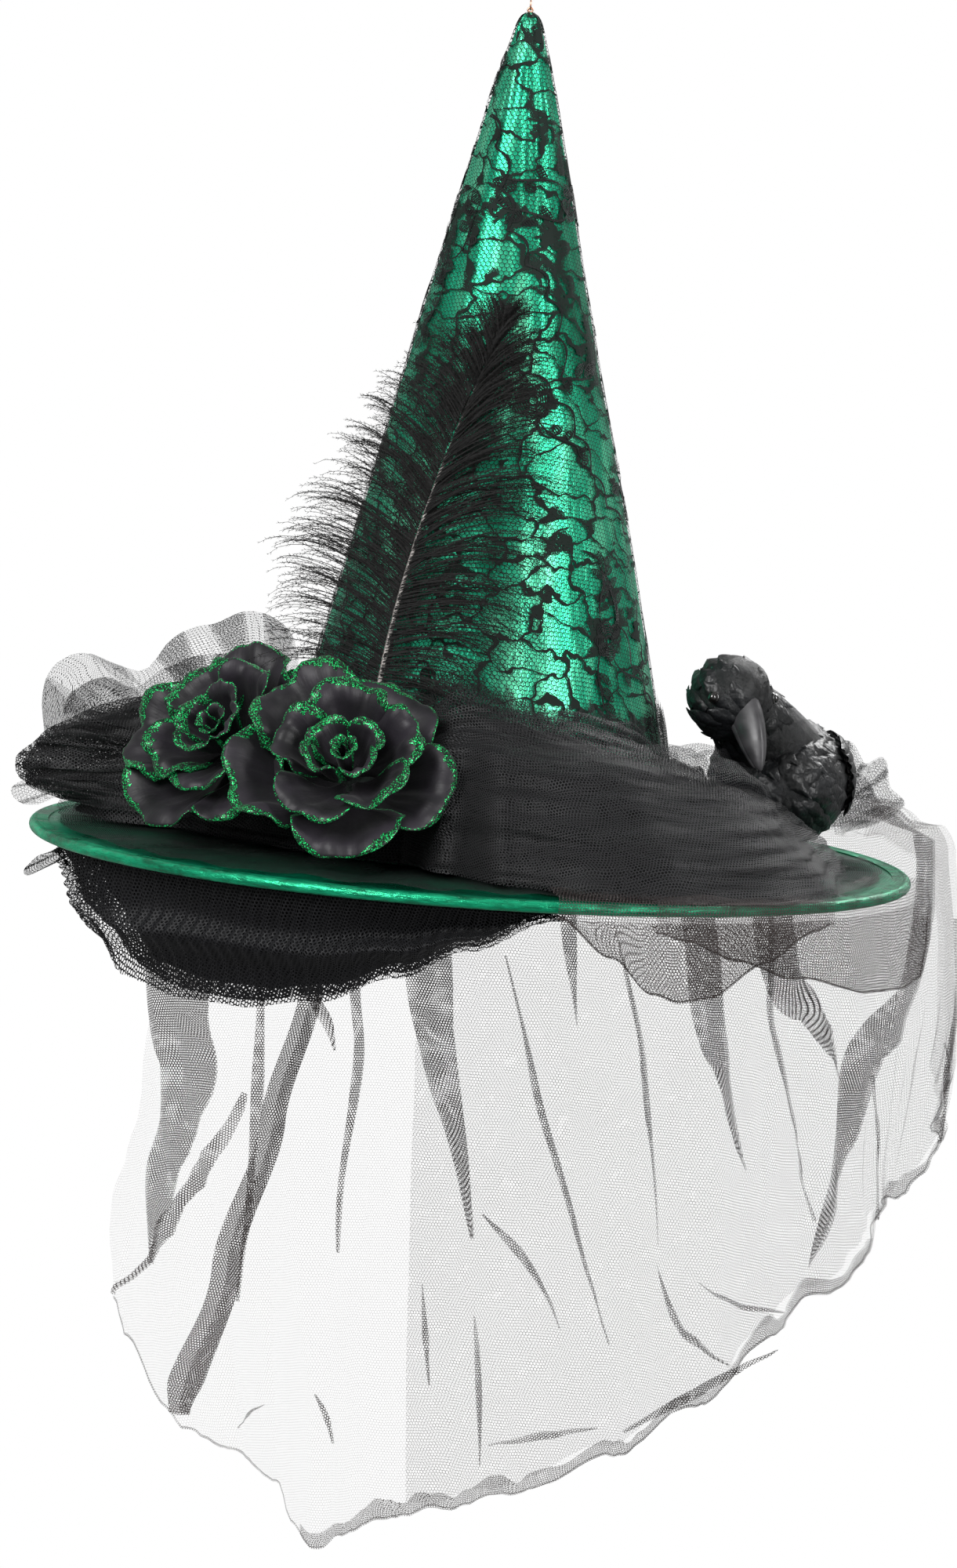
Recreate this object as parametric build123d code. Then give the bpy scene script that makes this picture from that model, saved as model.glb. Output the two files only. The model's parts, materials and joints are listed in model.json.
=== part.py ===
"""Trimmed witch hat: lace over a satin cone, wired satin brim, tulle, two roses, a plume, a raven and a veil.

Millimetres. +Z runs up the cone's axis, the wearer looks along -Y, and the origin is the centre of the head
opening, halfway through the brim. Soft pieces are plain closed solids of the right size and place.
"""

import math
import os

from build123d import *

# ---- head opening and crown -------------------------------------------------------------------------
head_opening_radius = 90.0  # a 565 mm head
sweatband_wall = 1.0
sweatband_rise = 12.0  # how far the band stands above the brim's middle
crown_top = 370.0  # where the straight cone ends and its rounded tip begins
crown_tip_radius = 4.6  # inside the stiffener, at crown_top
stiffener_wall = 1.2
satin_wall = 0.4
lace_wall = 0.3
dome_rise = 6.0
seam_tape_width = 12.0
seam_tape_wall = 0.4
layer_gap = 0.05  # between fabrics that lie on each other
fit_gap = 0.1  # between a piece and the hole or slot it sits in

# ---- brim ------------------------------------------------------------------------------------------
brim_radius = 200.0
brim_board_thickness = 2.4
cover_thickness = 0.4
binding_radius = 2.5
binding_lip = 6.0  # how far the binding laps in over the covers
binding_lip_wall = 0.5
brim_wire_radius = 1.0

# ---- hanging ring at the tip ------------------------------------------------------------------------
ring_wire_radius = 0.4
ring_radius = 2.3
eye_wire_radius = 0.45
eye_radius = 1.05
eye_shank_length = 12.0
ring_clearance = 0.04  # between the ring and the eye's wire at rest

# ---- trim ------------------------------------------------------------------------------------------
soft_gap = 0.6  # between soft pieces
swag_height = 62.0
swag_reach = 188.0  # radius that the front swag spreads to
back_band_height = 50.0
back_band_reach = 160.0
slim_band_height = 50.0
left_band_depth = 17.0
right_band_depth = 6.0

petal_wall = 0.8
outer_petal_count = 5
middle_petal_count = 4
inner_petal_count = 3
petal_parting = 1.6  # degrees on each side of a petal
rose_petal_tip_radius = 23.0
rose_front_radius = 47.0
rose_back_radius = 46.0

quill_base_radius = 1.1
quill_tip_radius = 0.35
plume_gap = 7.0  # from the lace to the plume's plane
plume_thickness = 2.6
plume_wrap_length = 16.0
plume_wrap_wall = 0.8

raven_body_radius = 31.0
raven_body_half_length = 54.0
raven_head_radius = 19.5
raven_neck_foot_radius = 20.0
raven_neck_top_radius = 14.0
raven_eye_radius = 2.8
raven_beak_length = 30.0
raven_beak_radius = 6.6
raven_feather_wall = 1.6
raven_leg_radius = 0.8
raven_toe_length = 11.0

# ---- veil and underlayers ---------------------------------------------------------------------------
net_wall = 0.8
veil_from, veil_to = -8.0, 134.0  # degrees round the brim, from +X towards +Y
veil_panel_count = 5
veil_panel_gap = 0.3  # degrees
loop_from, loop_to = -79.0, -9.0
hem_radius = 372.0
hem_centre = (-137.0, 20.0)  # x and z of the round hem's centre
hem_corner = (-68.0, -318.0)  # a point on the cut across the hem's lower left corner
hem_corner_lean = 42.0  # degrees
tail_head, tail_foot = (-64.0, -9.0), (-117.0, -278.0)  # x and z of its ends
tail_width = 17.0
tail_depth = 120.0  # how far back it hangs
under_layer_from, under_layer_to = 188.0, 276.0
under_hem_radius = 170.0  # of the ball that rounds the layers' hems

# ---- worked out from the sizes above ----------------------------------------------------------------
board_half = brim_board_thickness / 2
brim_top = board_half + layer_gap + cover_thickness
band_outer_radius = head_opening_radius + sweatband_wall
_band_share = sweatband_rise / crown_top
crown_base_radius = (band_outer_radius + fit_gap - crown_tip_radius * _band_share) / (1 - _band_share)
crown_slope = (crown_base_radius - crown_tip_radius) / crown_top
crown_lean = math.degrees(math.atan(crown_slope))
crown_foot = brim_top + layer_gap
cover_radius = brim_radius - 2 * binding_radius - fit_gap
lip_inner_radius = brim_radius - 2 * binding_radius - binding_lip + 2.5
binding_half = brim_top + fit_gap + binding_lip_wall
trim_floor = brim_top + 2 * fit_gap  # the lowest that a piece resting on the brim reaches
satin_start = stiffener_wall + layer_gap
lace_start = satin_start + satin_wall + layer_gap
lace_face = lace_start + lace_wall
rim_clear = max(binding_radius, binding_half) + soft_gap
eye_centre = crown_top + dome_rise + lace_face + eye_radius + eye_wire_radius + fit_gap
eye_hole_top = eye_centre + eye_radius - eye_wire_radius
ring_bottom = eye_hole_top - ring_wire_radius - ring_clearance  # centre of the ring's lowest wire


def crown_radius(z, offset=0.0):
    """Radius of the crown at height z, offset outwards from the stiffener's inner face."""
    return crown_base_radius - crown_slope * z + offset / math.cos(math.radians(crown_lean))


def polar(radius, degrees, z=0.0):
    """A point at that radius and angle round +Z."""
    angle = math.radians(degrees)
    return Vector(radius * math.cos(angle), radius * math.sin(angle), z)


def turned(profile, start=0.0, end=360.0):
    """Revolves a profile drawn in the XZ plane about +Z, from one angle to another."""
    return Rot(0, 0, start) * revolve(profile, Axis.Z, revolution_arc=end - start)


def tube_between(start, end, start_radius, end_radius=None):
    """A round rod, or a taper, between two points."""
    start, end = Vector(*start), Vector(*end)
    reach = end - start
    place = Plane(origin=start, z_dir=reach.normalized())
    if end_radius is None or abs(end_radius - start_radius) < 1e-6:
        return place * Cylinder(start_radius, reach.length, align=(Align.CENTER, Align.CENTER, Align.MIN))
    return place * Cone(start_radius, end_radius, reach.length, align=(Align.CENTER, Align.CENTER, Align.MIN))


def ellipsoid(half_x, half_y, half_z):
    return scale(Sphere(1.0), by=(half_x, half_y, half_z))


# ---- crown -----------------------------------------------------------------------------------------
def crown_stiffener():
    profile = Plane.XZ * Polygon(
        (crown_radius(crown_foot), crown_foot),
        (crown_radius(crown_foot, stiffener_wall), crown_foot),
        (crown_radius(crown_top, stiffener_wall), crown_top),
        (crown_radius(crown_top), crown_top),
        align=None,
    )
    return turned(profile)


def crown_skin(start, wall):
    """A fabric cone that lies on the crown and closes over its tip round the eye's shank."""
    shank = eye_wire_radius + fit_gap

    def side(offset):
        foot = (crown_radius(crown_foot, offset), crown_foot)
        shoulder = (crown_radius(crown_top, offset), crown_top)
        top = (shank, crown_top + dome_rise + offset)
        bulge = (shoulder[0] * 0.78, crown_top + (dome_rise + offset) * 0.66)
        return foot, shoulder, bulge, top

    inner, outer = side(start), side(start + wall)
    edges = [
        Line(inner[0], outer[0]),
        Line(outer[0], outer[1]),
        ThreePointArc(outer[1], outer[2], outer[3]),
        Line(outer[3], inner[3]),
        ThreePointArc(inner[3], inner[2], inner[1]),
        Line(inner[1], inner[0]),
    ]
    return turned(Plane.XZ * make_face(edges))


def crown_seam_tape():
    """The tape that covers the back seam inside the crown, above the sweatband."""
    foot = sweatband_rise + 2
    head = crown_top - 40
    face = -(layer_gap + seam_tape_wall)
    profile = Plane.XZ * Polygon(
        (crown_radius(foot, face), foot),
        (crown_radius(foot, -layer_gap), foot),
        (crown_radius(head, -layer_gap), head),
        (crown_radius(head, face), head),
        align=None,
    )
    strip = Pos(0, crown_base_radius / 2, crown_top / 2) * Box(seam_tape_width, crown_base_radius, crown_top)
    return turned(profile, 60, 120) & strip


def sweatband():
    height = sweatband_rise + binding_half
    ring = Cylinder(band_outer_radius, height) - Cylinder(head_opening_radius, height)
    return Pos(0, 0, sweatband_rise - height / 2) * ring


# ---- brim ------------------------------------------------------------------------------------------
def brim_disc(bottom, top):
    hole = band_outer_radius + fit_gap
    disc = Cylinder(cover_radius, top - bottom) - Cylinder(hole, top - bottom)
    return Pos(0, 0, (bottom + top) / 2) * disc


def brim_wire():
    return Torus(brim_radius - binding_radius, brim_wire_radius)


def brim_edge_binding():
    """Satin bias binding rolled over the wired edge and lapped onto both covers."""
    centre = brim_radius - binding_radius
    lip_length = centre - lip_inner_radius
    rolled = Pos(centre, 0) * Circle(binding_radius)
    lips = Pos(centre - lip_length / 2, 0) * Rectangle(lip_length, 2 * binding_half)
    slot_length = cover_radius + fit_gap - lip_inner_radius
    slot = Pos(lip_inner_radius + slot_length / 2, 0) * Rectangle(slot_length, 2 * (brim_top + fit_gap))
    wire_hole = Pos(centre, 0) * Circle(brim_wire_radius + fit_gap)
    return turned(Plane.XZ * (rolled + lips - slot - wire_hole))


# ---- hanging ring ----------------------------------------------------------------------------------
def tip_eye():
    """A wire eye whose shank runs down through the tip to a stop inside."""
    eye_bottom = eye_centre - eye_radius
    loop = Pos(0, 0, eye_centre) * Rot(90, 0, 0) * Torus(eye_radius, eye_wire_radius)
    shank = tube_between((0, 0, eye_bottom - eye_shank_length), (0, 0, eye_bottom), eye_wire_radius)
    stop = Pos(0, 0, eye_bottom - eye_shank_length) * Cylinder(crown_tip_radius * 0.55, 1.0)
    return loop + shank + stop


def hanging_ring():
    """The loose ring in the eye. It stands in the YZ plane and its lowest wire passes through the eye."""
    return Pos(0, 0, ring_bottom + ring_radius) * Rot(0, 90, 0) * Torus(ring_radius, ring_wire_radius)


# ---- gathered tulle --------------------------------------------------------------------------------
def tulle_swag_front():
    """The deep swag in front of the raven, highest against the crown and spread to the brim's edge."""
    inner = lace_face + soft_gap
    foot = (crown_radius(trim_floor, inner), trim_floor)
    shoulder = (crown_radius(swag_height - 4, inner), swag_height - 4)
    width = swag_reach - shoulder[0]
    crest = [
        shoulder,
        (shoulder[0] + 0.16 * width, swag_height),
        (shoulder[0] + 0.45 * width, swag_height * 0.76),
        (shoulder[0] + 0.78 * width, swag_height * 0.47),
        (swag_reach, swag_height * 0.1),
    ]
    edges = [
        Line(foot, shoulder),
        Spline(*crest),
        Line(crest[-1], (swag_reach - 2, trim_floor)),
        Line((swag_reach - 2, trim_floor), foot),
    ]
    return turned(Plane.XZ * make_face(edges), -86, -31)


def tulle_band(start, end, height, depth):
    """A gathered band with a rounded outer face, lying against the crown."""
    inner = lace_face + soft_gap
    foot = (crown_radius(trim_floor, inner), trim_floor)
    top = (crown_radius(height, inner), height)
    middle = (crown_radius(height / 2, inner) + depth, height / 2)
    edges = [
        Line(foot, top),
        Line(top, (top[0] + depth * 0.3, height)),
        ThreePointArc((top[0] + depth * 0.3, height), middle, (foot[0] + depth * 0.55, trim_floor)),
        Line((foot[0] + depth * 0.55, trim_floor), foot),
    ]
    return turned(Plane.XZ * make_face(edges), start, end)


def tulle_pouf_left():
    return Pos(-162, 14, trim_floor + 29) * ellipsoid(48, 62, 26)


def tulle_bow_left():
    return Pos(-140, 34, 80) * ellipsoid(50, 38, 19)


def tulle_tuft_right():
    return Pos(191, 52, 38) * ellipsoid(20, 30, 21)


# ---- veil ------------------------------------------------------------------------------------------
def hem_tool():
    """Everything above the veil's round hem and inside its rounded lower left corner."""
    hem = Pos(hem_centre[0], 0, hem_centre[1]) * Rot(90, 0, 0) * Cylinder(hem_radius, 4 * brim_radius)
    corner = Pos(hem_corner[0], 0, hem_corner[1]) * Rot(0, hem_corner_lean, 0)
    size = 2 * hem_radius
    return hem - corner * Box(size, 4 * brim_radius, size, align=(Align.CENTER, Align.CENTER, Align.MAX))


def over_the_rim():
    """Profile points of a net that lies on the brim's edge and turns down outside it."""
    out = brim_radius + net_wall
    return [
        (brim_radius - 11, rim_clear + 0.4),
        (brim_radius - 5, rim_clear + 0.8),
        (out - 0.5, rim_clear - 0.4),
        (out + 1.4, rim_clear - 5),
    ]


def veil_panel(start, end):
    path = Spline(*over_the_rim(), (brim_radius + 11, -48), (brim_radius + 7, -160), (brim_radius - 6, -345))
    panel = turned(Plane.XZ * trace(path, net_wall), start, end)
    return panel & hem_tool()


def veil_front_loop():
    """The short turned-back loop of net that hangs over the front right of the brim."""
    path = Spline(*over_the_rim(), (brim_radius + 5, -20), (brim_radius + 1, -46))
    loop = turned(Plane.XZ * trace(path, net_wall), loop_from, loop_to)
    middle = (loop_from + loop_to) / 2
    keep = Pos(polar(brim_radius, middle, 52)) * Sphere(112)
    return loop & keep


def veil_tail_left():
    """The veil's gathered left selvedge, which hangs from under the brim."""
    lean = math.degrees(math.atan2(tail_foot[0] - tail_head[0], tail_head[1] - tail_foot[1]))
    length = math.hypot(tail_foot[0] - tail_head[0], tail_foot[1] - tail_head[1])
    strip = Box(tail_width, net_wall, length, align=(Align.CENTER, Align.CENTER, Align.MAX))
    return Pos(tail_head[0], tail_depth, tail_head[1]) * Rot(0, -lean, 0) * strip


def under_layer(radius, drop, sway):
    """One of the stiff net layers gathered under the brim's left front. Sway tips its hem inwards."""
    head = -binding_half - soft_gap
    path = Polyline((radius, head), (radius - sway * 0.3, -drop / 2), (radius - sway, -drop))
    wall = turned(Plane.XZ * trace(path, net_wall), under_layer_from, under_layer_to)
    middle = (under_layer_from + under_layer_to) / 2
    keep = Pos(polar(radius, middle, under_hem_radius - drop)) * Sphere(under_hem_radius)
    below = Box(3 * brim_radius, 3 * brim_radius, drop * 2, align=(Align.CENTER, Align.CENTER, Align.MAX))
    return wall & keep & (Pos(0, 0, head) * below)


# ---- roses -----------------------------------------------------------------------------------------
def rose_place(centre, facing):
    """A rose's own frame: its base at the origin and its bud along +Z."""
    facing = Vector(*facing).normalized()
    return Plane(origin=centre, x_dir=facing.cross(Vector(0, 0, 1)).normalized(), z_dir=facing)


def bowl_profile(inner, outer):
    """A thin cupped profile between two points, in the XZ plane."""
    rise = (outer[1] - inner[1]) * 0.2
    middle = ((inner[0] + outer[0]) / 2 + rise * 0.5, (inner[1] + outer[1]) / 2 - rise)
    return Plane.XZ * trace(ThreePointArc(inner, middle, outer), petal_wall)


def rose_petal(radius, angle, share, cup, foot):
    """A rounded petal cut from a shallow bowl. It lies beside its neighbours in the ring without touching."""
    bowl = turned(bowl_profile((radius * 0.2, foot), (radius + 2, cup)), angle - share, angle + share)
    cutter = Pos(polar(radius - rose_petal_tip_radius, angle, 20)) * Cylinder(rose_petal_tip_radius, 60)
    heel = Pos(polar(radius * 0.3, angle, 20)) * Rot(0, 0, angle) * Box(radius * 0.75, radius, 60)
    return bowl & (cutter + heel)


def outer_petal(radius, angle, cup):
    return rose_petal(radius, angle, 180 / outer_petal_count - petal_parting, cup, 2.5)


def middle_petals(radius, phase):
    """A ring of cupped petals over the gaps between the outer ones."""
    share = 180 / middle_petal_count - petal_parting
    turn = 360 / middle_petal_count
    return [rose_petal(radius * 0.74, phase + turn * n, share, 25, 6) for n in range(middle_petal_count)]


def inner_petals(radius, phase):
    """A ring of upright petals round the bud."""
    share = 180 / inner_petal_count
    ring = []
    for number in range(inner_petal_count):
        angle = phase + 2 * share * number
        bowl = bowl_profile((radius * 0.17, 8.5), (radius * 0.42, 29.0))
        ring.append(turned(bowl, angle - share + 4, angle + share - 4))
    return ring


def rose_bud(radius):
    bud = radius * 0.13
    return Pos(0, 0, 17) * ellipsoid(bud, bud, 11.5)


def rose_base(calyx_length):
    """Felt disc under the petals, with the moulded calyx that it is glued to the band by."""
    disc = Pos(0, 0, 0) * Cylinder(15, 2)
    calyx = Pos(0, 0, -1 - calyx_length / 2) * Cone(8, 11, calyx_length)
    return disc + calyx


def rose_envelope(radius, cup):
    """The room that a rose takes, which its neighbour's petals are trimmed to."""
    outline = Plane.XZ * Polygon(
        (0, -4),
        (16, -4),
        (radius * 0.75, cup * 0.25),
        (radius + 3, cup - 6),
        (radius + 3, cup + 8),
        (0, 60),
        align=None,
    )
    return turned(outline)


# ---- plume -----------------------------------------------------------------------------------------
plume_foot_height = 62.0
plume_azimuth = -105.0


def plume_plane():
    """The plume's plane: X up the quill, Y across it, Z towards the crown. It is parallel to the crown's face."""
    outward = polar(math.cos(math.radians(crown_lean)), plume_azimuth, math.sin(math.radians(crown_lean)))
    across = polar(1, plume_azimuth + 90)
    origin = polar(crown_radius(plume_foot_height, lace_face) + plume_gap, plume_azimuth, plume_foot_height)
    return Plane(origin=origin, x_dir=outward.cross(across), z_dir=-outward)


quill_points = [(0, -25), (52, -22), (104, -12), (152, 2), (184, 12)]


def feather_quill():
    """A tapering quill: a chain of tapers along its gentle bend."""
    spine = Spline(*quill_points)
    stations = 12
    quill = None
    for number in range(stations):
        shares = (number / stations, (number + 1) / stations)
        start, end = (spine @ share for share in shares)
        taper = [quill_base_radius + (quill_tip_radius - quill_base_radius) * share for share in shares]
        piece = tube_between(start, end, *taper) + Pos(end) * Sphere(taper[1])
        quill = piece if quill is None else quill + piece
    return plume_plane() * quill


def feather_wrap():
    """Tape round the quill's foot."""
    start = Vector(*quill_points[0])
    along = (Vector(*quill_points[1]) - start).normalized()
    below = plume_wrap_length * 0.4
    radius = quill_base_radius + plume_wrap_wall
    sleeve = tube_between(start - along * below, start + along * (plume_wrap_length - below), radius)
    return plume_plane() * sleeve - feather_quill()


def feather_vane(side):
    """The closed outline of the barbs on one side of the quill."""
    if side == "left":
        edge = [(14, -36), (40, -78), (80, -74), (120, -52), (158, -22), (186, 8)]
    else:
        edge = [(18, 28), (52, 40), (92, 48), (122, 40), (160, 30), (186, 16)]
    gap = quill_base_radius + 0.4
    shift = -gap if side == "left" else gap
    spine = Spline(*[(x, y + shift) for x, y in quill_points if x > 10])
    first, last = spine @ 0, spine @ 1
    tip = Line((last.X, last.Y), edge[-1])
    foot = Line(edge[0], (first.X, first.Y))
    outline = make_face([spine, tip, Spline(*reversed(edge)), foot])
    return plume_plane() * Pos(0, 0, -plume_thickness / 2) * extrude(outline, plume_thickness)


# ---- raven -----------------------------------------------------------------------------------------
raven_centre = Vector(139, 10, 41)
raven_head_centre = Vector(111, -38, 81)
raven_neck_root = raven_centre + Vector(0, -14, 8)
raven_face = Vector(0.46, -0.74, -0.49)
raven_eye_spread = 47.0  # degrees from the beak to each eye


def raven_egg(grow=0.0):
    radius = raven_body_radius + grow
    return Pos(raven_centre) * ellipsoid(radius, raven_body_half_length + grow, radius)


def raven_head_ball(grow=0.0):
    """The head's ball, its pole along the neck."""
    along_neck = raven_head_centre - raven_neck_root
    return Plane(origin=raven_head_centre, z_dir=along_neck) * Sphere(raven_head_radius + grow)


def raven_neck(grow=0.0):
    return tube_between(raven_neck_root, raven_head_centre, raven_neck_foot_radius + grow, raven_neck_top_radius + grow)


def raven_body():
    """Foam body and neck in one piece, hollowed where the head is glued on."""
    return raven_egg() + raven_neck() - raven_head_ball(fit_gap)


def raven_eye_beads(radius):
    """Beads set into the head, one each side of the beak."""
    face = raven_face.normalized()
    side = face.cross(Vector(0, 0, 1)).normalized()
    lift = side.cross(face).normalized()
    spread = math.radians(raven_eye_spread)
    beads = []
    for sign in (-1, 1):
        aim = (face * math.cos(spread) + side * (sign * math.sin(spread)) + lift * 0.35).normalized()
        centre = raven_head_centre + aim * (raven_head_radius - 0.8)
        beads.append(Plane(origin=centre, z_dir=aim) * Sphere(radius))
    return beads


def raven_head():
    head = raven_head_ball()
    for bead in raven_eye_beads(raven_eye_radius + fit_gap):
        head -= bead
    return head


def raven_beak(part):
    """One mandible: half of a slim cone that points down from the face."""
    root = raven_head_centre + raven_face.normalized() * (raven_head_radius - 3)
    aim = (raven_face.normalized() + Vector(-0.1, -0.1, -0.35)).normalized()
    across = aim.cross(Vector(0, 0, 1)).normalized()
    place = Plane(origin=root, x_dir=across, z_dir=aim)
    cone = Cone(raven_beak_radius, 0.5, raven_beak_length, align=(Align.CENTER, Align.CENTER, Align.MIN))
    sign = 1 if part == "upper" else -1
    half = Pos(0, sign * (20 + fit_gap), 0) * Box(40, 40, 80)
    return place * (cone & half) - raven_head_ball(fit_gap)


def raven_wing(side):
    """A folded wing: a thin feathered shell over one flank."""
    shell = raven_egg(fit_gap + raven_feather_wall) - raven_egg(fit_gap)
    sign = -1 if side == "left" else 1
    flank = Pos(raven_centre + Vector(sign * 34, 16, 2)) * Box(56, 68, 44)
    return (shell & flank) - raven_neck(fit_gap)


def raven_tail():
    blade = Pos(raven_centre + Vector(0, 74, 4)) * Rot(-8, 0, 0) * Box(26, 58, 3.4)
    room = raven_egg(2 * fit_gap + raven_feather_wall)
    return fillet(blade.edges().filter_by(Axis.Z, tolerance=12), 1.2) - room


def raven_feet():
    """Two bent wires that pin the body to the brim."""
    feet = []
    for shift in (-13, 13):
        sole = Vector(raven_centre.X + shift, raven_centre.Y, trim_floor + raven_leg_radius)
        foot = tube_between(sole, sole + Vector(0, 0, 18), raven_leg_radius)
        foot += Pos(sole) * Sphere(raven_leg_radius)
        for spread in (-40, 0, 40):
            toe = Vector(math.sin(math.radians(spread)), -math.cos(math.radians(spread)), 0) * raven_toe_length
            foot += tube_between(sole, sole + toe, raven_leg_radius)
        feet.append((foot - raven_egg(fit_gap)).solids().sort_by(Axis.Z)[0])
    return feet


# ---- the assembly ----------------------------------------------------------------------------------
def roses():
    """Both roses. The back one's petals are trimmed to leave room for the front one."""
    front = rose_place((-55, -119, 42), (-0.12, -0.76, 0.64))
    back = rose_place((-107, -75, 47), (-0.52, -0.62, 0.58))
    front_room = front * rose_envelope(rose_front_radius, 15)
    made = {"rose_front_base": front * rose_base(8), "rose_back_base": back * rose_base(8)}
    made["rose_front_bud"] = front * rose_bud(rose_front_radius)
    made["rose_back_bud"] = back * rose_bud(rose_back_radius) - front_room
    for number in range(outer_petal_count):
        angle = 360 * number / outer_petal_count
        made[f"rose_front_petal_{number + 1}"] = front * outer_petal(rose_front_radius, angle + 18, 15)
        trimmed = back * outer_petal(rose_back_radius, angle + 50, 15) - front_room
        made[f"rose_back_petal_{number + 1}"] = trimmed.solids().sort_by(SortBy.VOLUME)[-1]
    for ring, petals in (("middle", middle_petals), ("inner", inner_petals)):
        made[f"rose_front_{ring}_petals"] = [front * petal for petal in petals(rose_front_radius, 20)]
        made[f"rose_back_{ring}_petals"] = [back * petal - front_room for petal in petals(rose_back_radius, 50)]
    return made


def assembly():
    made = {
        "crown_stiffener": crown_stiffener(),
        "crown_satin": crown_skin(satin_start, satin_wall),
        "crown_lace": crown_skin(lace_start, lace_wall),
        "crown_seam_tape": crown_seam_tape(),
        "sweatband": sweatband(),
        "brim_board": brim_disc(-board_half, board_half),
        "brim_top_satin": brim_disc(board_half + layer_gap, brim_top),
        "brim_under_cover": brim_disc(-brim_top, -board_half - layer_gap),
        "brim_wire": brim_wire(),
        "brim_edge_binding": brim_edge_binding(),
        "tip_eye": tip_eye(),
        "hanging_ring": hanging_ring(),
        "tulle_swag_front": tulle_swag_front(),
        "tulle_band_right": tulle_band(-30.5, 41.5, slim_band_height, right_band_depth),
        "tulle_band_back": tulle_band(42, 148, back_band_height, back_band_reach - crown_radius(0)),
        "tulle_band_left": tulle_band(148.5, 273.5, slim_band_height, left_band_depth),
        "tulle_pouf_left": tulle_pouf_left(),
        "tulle_bow_left": tulle_bow_left(),
        "tulle_tuft_right": tulle_tuft_right(),
        "veil_front_loop": veil_front_loop(),
        "veil_tail_left": veil_tail_left(),
        "under_tulle_outer": under_layer(184, 78, 22),
        "under_tulle_middle": under_layer(170, 66, 16),
        "under_tulle_inner": under_layer(156, 58, 10),
        "feather_quill": feather_quill(),
        "feather_wrap": feather_wrap(),
        "feather_vane_left": feather_vane("left"),
        "feather_vane_right": feather_vane("right"),
        "raven_body": raven_body(),
        "raven_head": raven_head(),
        "raven_beak_upper": raven_beak("upper"),
        "raven_beak_lower": raven_beak("lower"),
        "raven_eyes": raven_eye_beads(raven_eye_radius),
        "raven_wing_left": raven_wing("left"),
        "raven_wing_right": raven_wing("right"),
        "raven_tail": raven_tail(),
        "raven_feet": raven_feet(),
    }
    step = (veil_to - veil_from) / veil_panel_count
    for number in range(veil_panel_count):
        start = veil_from + step * number + veil_panel_gap / 2
        made[f"veil_panel_{number + 1}"] = veil_panel(start, start + step - veil_panel_gap)
    made.update(roses())
    return made


os.makedirs("parts", exist_ok=True)
for name, shape in assembly().items():
    solids = shape if isinstance(shape, list) else [shape]
    group = Compound(children=[solid for piece in solids for solid in piece.solids()])
    export_step(group, f"parts/{name}.step")
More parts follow.
